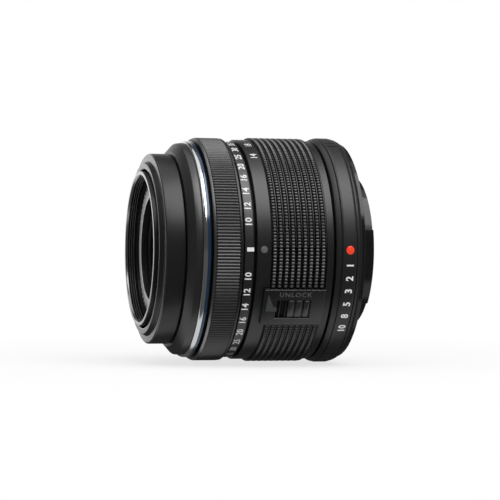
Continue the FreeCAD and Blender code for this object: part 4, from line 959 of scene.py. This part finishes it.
@dataclass
class ZoomGroup:
    """The zoom ring's grip of small pads, its numerals and dot, and the lock plate with its knob."""

    ring: Span = field(default_factory=lambda: Span.of("zoom_ring"))
    grip: Span = field(default_factory=lambda: Span.of("zoom_grip"))
    grip_seat: float = 27.02
    grip_rounding: float = 0.05
    bands: int = 9
    band_pitch: float = 1.505
    first_pad: float = 0.53
    pad_length: float = 0.9
    pad_width: float = 0.62
    pad_slope: float = 0.2
    pad_foot: float = 0.1
    pad_step: float = 1.652
    pad_margin: float = 0.9
    ridge_gap: float = 0.04
    ridge_slope: float = 0.06
    ridge_width: float = 0.32
    ridge_radius: float = 27.95
    floor_radius: float = 27.4
    floor_skin: float = 0.02
    lock_angle: float = -29.65
    gap_half: float = 10.35
    numeral_station: float = 25.1
    numeral_height: float = 1.65
    numeral_weight: float = 0.03
    numerals: tuple[tuple[str, float], ...] = (
        ("14", 56.0), ("18", 69.5), ("25", 85.0), ("35", 104.0), ("42", 118.0))
    dot_radius: float = 0.85
    dot_station: float = 25.37
    dot_depth: float = 0.2
    dot_rim: float = 0.05
    dot_sides: int = 40
    plate_edge: float = 0.2
    plate_top: float = 28.1
    plate_middle: float = 17.4
    # Lean, turn and depth of the chamfer faces that carry the painted edge highlight.
    highlight_lean: Pair = (0.0, 50.0)
    highlight_turn: float = 0.2
    highlight_depth: float = 0.5
    word_station: float = 17.2
    word_up: float = 3.5
    word_height: float = 1.2
    word_weight: float = 0.02
    word_spacing: float = 1.22
    arrow: Section = ((23.95, 3.6), (24.1, -1.1), (21.4, -1.1), (21.5, 0.1), (22.3, 0.15))
    knob_stations: Pair = (13.1, 18.75)
    knob_sides: Pair = (-2.92, 1.98)
    knob_levels: tuple[float, float, float] = (26.05, 27.7, 28.4)
    knob_rounding: float = 0.22
    rib_sides: Pair = (-2.5, 1.98)
    rib_foot: float = 0.1
    knob_ribs: tuple[Pair, ...] = ((13.5, 14.8), (15.3, 16.85), (17.25, 18.7))

    def build(self, paint: Paintbox) -> None:
        self.build_grip(paint)
        self.build_marks(paint)
        self.build_plate(paint)
        self.build_knob(paint)
        self.build_plate_ink(paint)

    def sleeve_outline(self) -> list[Point]:
        """The grip sleeve's section: a ridge behind each row of pads, and a floor between."""
        low, high = self.floor_radius, self.ridge_radius
        outline = [(self.grip_seat, self.grip.rear), (low, self.grip.rear)]
        for band in range(self.bands):
            end = self.grip.rear + self.first_pad - self.ridge_gap + band * self.band_pitch
            start = end - self.ridge_width
            outline += [(low, start), (high, start + self.ridge_slope), (high, end - self.ridge_slope),
                        (low, end)]
        outline += [(low, self.grip.front), (self.grip_seat, self.grip.front)]
        return outline

    def build_grip(self, paint: Paintbox) -> None:
        """Spin the sleeve and array one pad over it."""
        first = self.lock_angle + self.gap_half
        sweep = 360.0 - 2 * self.gap_half
        sleeve = turn("zoom_grip_look", self.sleeve_outline(), self.grip_rounding, first, sweep)
        pad = self.build_pad(first + self.pad_margin)
        rows = pad.modifiers.new("Rows", "ARRAY")
        rows.count = self.bands
        rows.use_relative_offset = False
        rows.use_constant_offset = True
        rows.constant_offset_displace = (0, -self.band_pitch * MM, 0)
        apply_all(pad)
        ring_of(pad, self.pad_step, int((sweep - 2 * self.pad_margin) / self.pad_step) + 1)
        # The sleeve starts in the dark floor finish as painted shade between the ridges; the ridges then get
        # satin black.
        paint.dress(sleeve, FLOOR_SHADE_PLASTIC)
        above_floor = self.floor_radius + self.floor_skin
        paint_where(sleeve, paint.material(BLACK_PLASTIC), (above_floor, self.grip.rear),
                    (self.grip.radius, self.grip.front))
        paint.dress(pad, GRIP_PLASTIC)
        grip = join("zoom_grip_look", [sleeve, pad])
        finish_piece(grip, Body.ZOOM, "zoom_grip")

    def build_pad(self, angle: float) -> bpy.types.Object:
        """Model the rearmost pad at an angle.

        Args:
            angle: Degrees from the index towards up.

        Returns:
            The pad, in place.
        """
        station = self.grip.rear + self.first_pad + self.pad_length / 2
        bottom = self.floor_radius - self.pad_foot
        height = self.grip.radius - bottom
        return sloped_bar("grip pad", (self.pad_width, self.pad_length, height), self.pad_slope,
                          placed(bottom + height / 2, angle, station, Facing.FORWARD))

    def build_marks(self, paint: Paintbox) -> None:
        """Print the numerals on the ring's front land and set the grey dot into it."""
        marks = numerals_round(self.numerals, self.ring.radius - INK_SINK, self.numeral_station,
                               self.numeral_height, self.numeral_weight)
        finish_marks("zoom_numerals", marks, paint, Body.ZOOM)
        dot = self.build_dot()
        paint.dress(dot, GREY_INK)
        finish_piece(dot, Body.ZOOM)

    def build_dot(self) -> bpy.types.Object:
        """Model the small round inlay with its rim broken.

        Returns:
            The inlay, in place.
        """
        start_clean()
        bpy.ops.mesh.primitive_cylinder_add(vertices=self.dot_sides, radius=self.dot_radius * MM,
                                            depth=self.dot_depth * MM)
        dot = bpy.context.object
        dot.name = "zoom_dot"
        for edge in dot.data.edges:
            edge.select = all(dot.data.vertices[index].co.z > 0 for index in edge.vertices)
        with editing(whole=False):
            bpy.ops.mesh.bevel(offset=self.dot_rim * MM, segments=2, affect="EDGES")
        bpy.ops.object.shade_smooth_by_angle(angle=math.radians(COPY_ANGLE))
        settle(dot, placed(self.ring.radius - self.dot_rim, 0.0, self.dot_station, Facing.FORWARD))
        return dot

    def build_plate(self, paint: Paintbox) -> None:
        """Soften the lock plate and paint a highlight on the faces of its upper edge chamfer."""
        plate = copy_of_node("lock_plate", self.plate_edge)
        paint.dress(plate, PLATE_PLASTIC)
        # Chamfer faces that lean upwards near the top get the light grey: a painted highlight along the upper
        # edge.
        plate.data.materials.append(paint.material(PLATE_EDGE_HIGHLIGHT))
        low, high = self.highlight_lean
        for face in plate.data.polygons:
            lean = math.degrees(math.atan2(face.normal.z, face.normal.x))
            highlight_face = low < lean < high and abs(face.normal.y) < self.highlight_turn
            reach = math.hypot(face.center.x, face.center.z) / MM
            if highlight_face and reach > self.plate_top - self.highlight_depth:
                face.material_index = 1
        finish_piece(plate, Body.ZOOM, "lock_plate")

    def build_knob(self, paint: Paintbox) -> None:
        """Model the slider's knob: a base with three upright ribs."""
        bottom, floor, top = self.knob_levels
        shapes = [(self.knob_stations, self.knob_sides, (bottom, floor))]
        shapes += [(rib, self.rib_sides, (bottom + self.rib_foot, top)) for rib in self.knob_ribs]
        parts = []
        for (rear, front), (low, high), (foot, head) in shapes:
            block = rounded_block("knob block", (high - low, front - rear, head - foot),
                                  self.knob_rounding, 2)
            seat = placed((foot + head) / 2, self.lock_angle, (rear + front) / 2, Facing.FORWARD)
            settle(block, seat @ Matrix.Translation((((low + high) / 2) * MM, 0, 0)))
            parts.append(block)
        knob = join("lock_knob_look", parts)
        paint.dress(knob, KNOB_PLASTIC)
        finish_piece(knob, Body.LOCK, "lock_knob")

    def build_plate_ink(self, paint: Paintbox) -> None:
        """Print the arrow and the switch word on the lock plate."""
        arrow = flat_shape("lock_arrow", [(self.plate_middle - station, up) for station, up in self.arrow])
        paint.dress(arrow, SLATE_INK)
        word = flat_text("lock_word", "UNLOCK", self.word_height, self.word_weight, self.word_spacing)
        paint.dress(word, SWITCH_INK)
        across = self.plate_middle - self.word_station
        settle(word, Matrix.Translation(Vector((across, self.word_up, 0)) * MM))
        ink = join("lock_plate_ink", [arrow, word])
        settle(ink, placed(self.plate_top, self.lock_angle, self.plate_middle, Facing.ROUND))
        finish_piece(ink, Body.ZOOM)


@dataclass
class IndexBand:
    """The marks printed on the index ring, between the two turning rings."""

    span: Span = field(default_factory=lambda: Span.of("index_ring"))
    bar_width: float = 0.97
    bar_length: float = 1.7
    bar_station: float = 28.65
    numeral_height: float = 1.55
    numeral_weight: float = 0.05
    numerals: tuple[str, ...] = ("10", "12", "14", "16", "20", "25", "30", "35", "40", "50", "60", "80")
    first_angle: float = 14.0
    step_angle: float = 8.5

    def build(self, paint: Paintbox) -> None:
        """Print the index bar and the plain scale on both sides of it."""
        surface = self.span.radius - INK_SINK
        bar = flat_bar("index_bar", self.bar_width, self.bar_length)
        settle(bar, placed(surface, 0.0, self.bar_station, Facing.FORWARD))
        numerals = [(words, side * (self.first_angle + number * self.step_angle))
                    for side in (1, -1) for number, words in enumerate(self.numerals)]
        marks = numerals_round(numerals, surface, (self.span.rear + self.span.front) / 2,
                               self.numeral_height, self.numeral_weight)
        finish_marks("index_band_marks", [bar] + marks, paint, Body.MOUNT)


TRIM_RINGS = (
    TurnedPart("index_ring", (
        (25.93, 27.7), (26.83, 27.7), (26.98, 27.85), (26.98, 29.95), (26.83, 30.1), (25.93, 30.1)),
        0.05, BAND_PLASTIC, Body.MOUNT),
    TurnedPart("blue_ring", (
        (25.25, 38.2), (26.8, 38.2), (26.95, 38.35), (26.95, 39.0), (25.25, 39.0)),
        0.05, BLUE_LACQUER, Body.MOUNT, "blue_trim"),
    TurnedPart("chrome_ring", (
        (25.25, 39.0), (26.95, 39.0), (26.94, 39.4), (26.86, 39.75), (26.65, 40.0), (25.25, 40.0)),
        0.05, CHROME, Body.MOUNT, "chrome_trim"))


@dataclass
class FocusRing:
    """The focus ring: a grooved drum with fine bars across it."""

    span: Span = field(default_factory=lambda: Span.of("focus_ring"))
    bore: float = 25.9
    rounding: float = 0.05
    land: float = 0.62
    land_drop: float = 0.06
    floor_drop: float = 0.5
    land_slopes: Pair = (0.12, 0.02)
    rear_chamfer: float = 0.15
    front_chamfer: Pair = (0.32, 0.55)
    metal_end: float = 0.02
    window_slack: float = 0.05
    bars: int = 220
    bar_width: float = 0.66
    bar_slope: float = 0.26
    bar_foot: float = 0.1
    first_bar: float = 0.4

    def build(self, paint: Paintbox) -> None:
        """Spin the drum, then model one bar and repeat it."""
        top, rear, front = self.span.radius, self.span.rear, self.span.front
        land, floor = top - self.land_drop, top - self.floor_drop
        chamfer_low, chamfer_rear = land - self.front_chamfer[0], front - self.front_chamfer[1]
        slack = self.window_slack
        drum = turn("focus_ring_look", [
            (self.bore, rear), (land - self.rear_chamfer, rear), (land, rear + self.rear_chamfer),
            (land, rear + self.land), (floor, rear + self.land + self.land_slopes[0]),
            (floor, front - self.land), (land, front - self.land + self.land_slopes[1]),
            (land, chamfer_rear), (chamfer_low, front), (self.bore, front)], self.rounding)
        paint.dress(drum, BLACK_PLASTIC)
        # The floor between the bars gets the dark, dull finish as painted shade.
        paint_where(drum, paint.material(FLOOR_SHADE_PLASTIC), (self.bore, rear + self.land + slack),
                    (floor + slack, front - self.land + slack))
        paint_where(drum, paint.material(LAND_METAL), (chamfer_low, chamfer_rear),
                    (land, front - self.metal_end))
        length = front - rear - 2 * self.land + self.bar_foot
        height = self.floor_drop + self.bar_foot
        bar = sloped_bar("focus bar", (self.bar_width, length, height), self.bar_slope,
                         placed(top - height / 2, self.first_bar, (rear + front) / 2, Facing.FORWARD))
        ring_of(bar, 360.0 / self.bars, self.bars)
        paint.dress(bar, FOCUS_PLASTIC)
        ring = join("focus_ring_look", [drum, bar])
        finish_piece(ring, Body.FOCUS, "focus_ring")


@dataclass
class FrontGroup:
    """The front cap, the decoration ring, the threaded rim and the bezel round the glass."""

    cap: TurnedPart = TurnedPart("front_cap", (
        (23.95, 40.05), (26.35, 40.05), (26.4, 40.12), (26.34, 40.9), (26.22, 41.65), (24.3, 43.35),
        (21.0, 43.35), (21.0, 47.6), (20.2, 47.6), (20.2, 42.05), (23.95, 42.05)),
        0.08, CAP_PLASTIC, Body.FRONT)
    decoration: TurnedPart = TurnedPart("decoration_ring", (
        (22.6, 43.6), (23.45, 43.6), (23.6, 43.75), (23.6, 48.2), (23.3, 48.5), (21.7, 48.5),
        (21.1, 49.6), (19.85, 49.6), (19.7, 49.45), (19.7, 47.8), (22.6, 47.8)),
        0.1, FRONT_PLASTIC, Body.DECORATION,
        windows=((FACE_PLASTIC, (21.6, 48.2), (23.6, 48.6)), (FACE_PLASTIC, (19.6, 49.4), (21.2, 49.7))))
    bezel: TurnedPart = TurnedPart("bezel_ring", (
        (15.0, 45.65), (17.15, 45.65), (17.15, 47.1), (15.4, 47.2), (15.3, 47.5), (12.9, 47.5),
        (12.8, 47.4), (12.35, 45.95), (15.0, 45.95)),
        0.06, INNER_PLASTIC_AND_SHADE, Body.FRONT, windows=((BEZEL_PAINT, (12.82, 47.45), (15.35, 47.6)),))
    rim_front: Section = (
        (17.2, 38.9), (22.7, 38.9), (22.7, 40.35), (19.2, 40.35), (19.2, 50.35), (19.05, 50.5),
        (18.325, 50.5))
    rim_rear: Section = ((18.1, 47.8), (17.2, 47.8), (17.2, 44.1), (15.6, 44.1), (15.6, 42.9), (17.2, 42.9))
    rim_rounding: float = 0.05
    # The rim face gets bright metal; the thread crests get lighter grey metal as a painted highlight.
    rim_windows: tuple[tuple[Finish, Point, Point], ...] = (
        (RIM_METAL, (18.05, 50.25), (19.15, 50.6)), (THREAD_CREST_HIGHLIGHT, (18.05, 47.85), (18.13, 50.05)))
    thread_front: float = 50.0
    thread_pitch: float = 0.55
    thread_turns: int = 4
    thread_crest: float = 18.1
    thread_root: float = 18.4
    thread_steps: tuple[float, float, float] = (0.1, 0.3, 0.38)
    tick_circle: float = 16.3
    tick_station: float = 47.18
    tick_size: Pair = (0.42, 0.8)
    tick_step: float = 6.0

    def build(self, paint: Paintbox) -> None:
        rim = TurnedPart("filter_ring", self.rim_outline(), self.rim_rounding, ANODISED, Body.FRONT,
                         windows=self.rim_windows)
        for part in (self.cap, self.decoration, rim, self.bezel):
            part.build(paint)
        tick = flat_bar("bezel_ticks", *self.tick_size)
        settle(tick, Matrix.Translation((0, self.tick_circle * MM, 0)))
        upright = Matrix.Rotation(math.radians(90), 4, "X")
        upright.translation = (0, -self.tick_station * MM, 0)
        settle(tick, upright)
        ring_of(tick, self.tick_step, round(360 / self.tick_step))
        paint.dress(tick, WHITE_INK)
        finish_piece(tick, Body.FRONT)

    def rim_outline(self) -> Section:
        """The threaded rim's section: the outside, then the thread, then the seat."""
        crest_end, root_start, root_end = self.thread_steps
        thread = []
        for number in range(self.thread_turns):
            station = self.thread_front - number * self.thread_pitch
            thread += [(self.thread_crest, station), (self.thread_crest, station - crest_end),
                       (self.thread_root, station - root_start), (self.thread_root, station - root_end)]
        return self.rim_front + tuple(thread) + self.rim_rear


@dataclass
class MountLook:
    """The mount plate, its screws and the zoom ring with their edges broken."""

    edge: float = 0.1
    seat_low: Point = (25.0, 9.76)
    seat_high: Point = (27.2, 23.64)
    screw_edge: float = 0.06
    screw_circle: float = 22.6
    screw_turns: tuple[Pair, ...] = ((45, 12), (135, 55), (225, 78), (315, 33))
    recess: tuple[float, float, float] = (0.5, 1.9, 0.74)
    recess_rounding: float = 0.08
    recess_shade_low: Point = (0.0, 0.1)
    recess_shade_high: Point = (30.0, 0.48)

    def build(self, paint: Paintbox) -> None:
        self.build_screws(paint)
        plate = copy_of_node("mount_plate", self.edge)
        paint.dress(plate, MOUNT_PLASTIC)
        finish_piece(plate, Body.MOUNT, "mount_plate")
        ring = copy_of_node("zoom_ring", self.edge)
        paint.dress(ring, BLACK_PLASTIC)
        # The ring's seat under the grip sleeve gets the dark, dull finish as painted shade.
        paint_where(ring, paint.material(FLOOR_SHADE_PLASTIC), self.seat_low, self.seat_high)
        finish_piece(ring, Body.ZOOM, "zoom_ring")

    def build_screws(self, paint: Paintbox) -> None:
        """Cut a cross into the head of each mount screw and paint the recess dark as painted shade."""
        screws = copy_of_node("mount_screws", self.screw_edge)
        upright = Matrix.Rotation(math.radians(90), 4, "X")
        for angle, turned in self.screw_turns:
            seat = placed(self.screw_circle, angle, 0, Facing.FORWARD) @ upright
            for direction in (turned, turned + 90):
                bar = rounded_block("screw recess", self.recess, self.recess_rounding, 1)
                settle(bar, seat @ Matrix.Rotation(math.radians(direction), 4, "Z"))
                carve(screws, bar)
        paint.dress(screws, STEEL)
        # Faces inside the cross recess get the dark plastic: painted shade.
        paint_where(screws, paint.material(INNER_PLASTIC_AND_SHADE), self.recess_shade_low, self.recess_shade_high)
        finish_piece(screws, Body.MOUNT, "mount_screws")


# Studio


@dataclass
class Studio:
    """Floor, lamps, world and camera."""

    pivot_station: float = 22.08
    distance: float = 521.7
    azimuth: float = 76.0
    roll: float = 0.45
    camera_drop: float = 0.13
    lens: float = 149.4
    sensor_width: float = 36.0
    clip_start: float = 0.01
    floor_drop: float = 0.3
    floor_size: float = 6.0
    floor_grey: tuple[float, float, float, float] = (0.9, 0.9, 0.9, 1.0)
    floor_glow_reach: Pair = (0.03, 0.16)
    floor_glow_least: float = 0.72
    fill: float = 0.3
    dark_side: float = 0.05
    dark_turn: Pair = (0.1, -0.35)
    dark_height: Pair = (0.6, 0.2)
    strip_dim: float = 0.4
    dark_floor: float = 0.08
    strip_front: float = 0.035
    strip_rear: float = 0.016
    strip_edge: float = 0.005
    shade_rear: float = -0.04
    lamps: tuple[tuple[str, tuple[float, float, float], float, float], ...] = (
        ("softbox", (0.29, 0.145, 0.5), 0.5, 2.75),
        ("top lamp", (-0.1, -0.1, 0.7), 0.7, 1.2),
        ("edge lamp", (0.31, -0.35, 0.52), 0.3, 0.5))

    def build(self) -> None:
        """Set up the whole studio."""
        bpy.context.scene.view_settings.view_transform = "Standard"
        self.build_floor()
        self.build_world()
        self.build_lamps()
        self.build_camera()

    @property
    def centre(self) -> Vector:
        """The point of the axis that the camera and the lamps are set round, in metres."""
        return Vector((0, -self.pivot_station * MM, 0))

    @property
    def back(self) -> Vector:
        """The level direction from the lens to the camera."""
        turn_to = math.radians(self.azimuth)
        return Vector((math.sin(turn_to), -math.cos(turn_to), 0))

    def toward_camera(self, tree: Tree, place: bpy.types.NodeSocket) -> bpy.types.NodeSocket:
        """Measure how far a place or a direction lies towards the camera.

        Args:
            tree: The tree.
            place: The place or the direction.

        Returns:
            A socket with the measure.
        """
        toward = tree.add("ShaderNodeVectorMath", {0: place, 1: self.back}, operation="DOT_PRODUCT")
        return toward.outputs["Value"]

    def build_floor(self) -> None:
        """Lay a plain pale floor just under the lens."""
        low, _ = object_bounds()
        start_clean()
        bpy.ops.mesh.primitive_plane_add(size=self.floor_size, location=(0, 0, low[2] - self.floor_drop * MM))
        floor = bpy.context.object
        floor.name = "floor"
        material, tree, shader = new_material("Pale floor")
        tree.feed(shader, {"Base Color": self.floor_grey, "Roughness": 0.9, "Specular IOR Level": 0.1})
        path = tree.add("ShaderNodeLightPath")
        place = tree.add("ShaderNodeTexCoord")
        length = tree.add("ShaderNodeVectorMath", {0: place.outputs["Object"]}, operation="LENGTH")
        near, far = self.floor_glow_reach
        spread = tree.add("ShaderNodeMapRange", {
            "Value": length.outputs["Value"], "From Min": near, "From Max": far,
            "To Min": self.floor_glow_least, "To Max": 1.0})
        whole = tree.combined("MAXIMUM", spread.outputs["Result"], path.outputs["Is Glossy Ray"])
        share = tree.combined("MULTIPLY", whole, tree.seen_by_eye(path))
        glow = tree.add("ShaderNodeEmission", {"Strength": self.floor_glow(tree, path)})
        mix = tree.add("ShaderNodeMixShader", {"Fac": share, 1: shader.outputs[0], 2: glow.outputs[0]})
        tree.feed(tree.nodes["Material Output"], {"Surface": mix.outputs[0]})
        floor.data.materials.append(material)
        floor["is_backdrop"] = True

    def floor_glow(self, tree: Tree, path: bpy.types.Node) -> bpy.types.NodeSocket:
        """Darken the floor's reflection under the lens and on the photographer's side.

        Args:
            tree: The floor's tree.
            path: The floor's Light Path node.

        Returns:
            A socket that is 1, but falls for glossy rays that land outside the pale strip.
        """
        place = tree.add("ShaderNodeNewGeometry")
        distance = self.toward_camera(tree, place.outputs["Position"])
        ahead = tree.ramp(distance, self.strip_front - self.strip_edge, self.strip_front)
        behind = tree.ramp(distance, self.shade_rear, self.shade_rear + 3 * self.strip_edge)
        under = tree.ramp(distance, self.strip_rear + self.strip_edge, self.strip_rear)
        shade = tree.combined("MULTIPLY", behind, under)
        dimmed = tree.combined("MAXIMUM", tree.combined("MAXIMUM", ahead, shade), self.strip_dim)
        dark = tree.combined("MULTIPLY", dimmed, path.outputs["Is Glossy Ray"])
        rest = tree.add("ShaderNodeMapRange", {"Value": dark, "To Min": 1.0, "To Max": self.dark_floor})
        return rest.outputs["Result"]

    def build_world(self) -> None:
        """Make a world that looks white, lights softly and is darker on the photographer's side."""
        world = bpy.data.worlds.new("Studio")
        bpy.context.scene.world = world
        world.use_nodes = True
        tree = Tree(world.node_tree)
        fill = tree.nodes["Background"]
        tree.feed(fill, {"Color": WHITE_LIGHT, "Strength": self.fill})
        white = tree.add("ShaderNodeBackground", {"Color": WHITE_LIGHT})
        mirrored = tree.add("ShaderNodeBackground", {
            "Color": WHITE_LIGHT, "Strength": self.mirrored_strength(tree)})
        path = tree.add("ShaderNodeLightPath")
        reflected = tree.add("ShaderNodeMixShader", {
            "Fac": path.outputs["Is Glossy Ray"], 1: white.outputs[0], 2: mirrored.outputs[0]})
        mix = tree.add("ShaderNodeMixShader", {
            "Fac": tree.seen_by_eye(path), 1: fill.outputs[0], 2: reflected.outputs[0]})
        tree.feed(tree.nodes["World Output"], {"Surface": mix.outputs[0]})

    def mirrored_strength(self, tree: Tree) -> bpy.types.NodeSocket:
        """Work out how bright the studio is where a reflection looks: white backdrop, dark front.

        Args:
            tree: The world's tree.

        Returns:
            A socket with the brightness.
        """
        place = tree.add("ShaderNodeTexCoord")
        toward = self.toward_camera(tree, place.outputs["Generated"])
        split = tree.add("ShaderNodeSeparateXYZ", {0: place.outputs["Generated"]})
        height = tree.add("ShaderNodeMath", {0: split.outputs["Z"]}, operation="ABSOLUTE")
        away = tree.ramp(toward, *self.dark_turn)
        level = tree.ramp(height.outputs[0], *self.dark_height)
        total = tree.add("ShaderNodeMapRange", {
            "Value": tree.combined("MULTIPLY", away, level), "To Min": self.dark_side, "To Max": 1.0})
        return total.outputs["Result"]

    def build_lamps(self) -> None:
        """Hang a large soft lamp, one above the lens, and a weak one that lights front edges."""
        for name, place, size, power in self.lamps:
            start_clean()
            bpy.ops.object.light_add(type="AREA", location=self.centre + Vector(place))
            lamp = bpy.context.object
            lamp.name = name
            lamp.visible_camera = False
            lamp.data.size = size
            lamp.data.energy = power
            lamp.rotation_euler = (-Vector(place)).to_track_quat("-Z", "Y").to_euler()

    def build_camera(self) -> None:
        """Place the camera at the photograph's viewing angle."""
        centre = self.centre
        centre.z -= self.camera_drop * MM
        bpy.ops.object.camera_add(location=centre + self.back * self.distance * MM)
        camera = bpy.context.object
        rotation = (-self.back).to_track_quat("-Z", "Y").to_matrix().to_4x4()
        rotation = rotation @ Matrix.Rotation(math.radians(self.roll), 4, "Z")
        camera.rotation_euler = rotation.to_euler()
        camera.data.lens = self.lens
        camera.data.sensor_width = self.sensor_width
        camera.data.clip_start = self.clip_start
        bpy.context.scene.camera = camera


def main() -> None:
    """Build the looks in order and report each piece."""
    logging.basicConfig(level=logging.INFO, format="%(name)s: %(message)s")
    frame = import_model()
    paint = Paintbox()
    paint.dress_frame(frame["nodes"])
    RearBarrel().build(paint)
    ZoomGroup().build(paint)
    IndexBand().build(paint)
    for ring in TRIM_RINGS:
        ring.build(paint)
    FocusRing().build(paint)
    FrontGroup().build(paint)
    MountLook().build(paint)
    Studio().build()


if __name__ == "__main__":
    main()
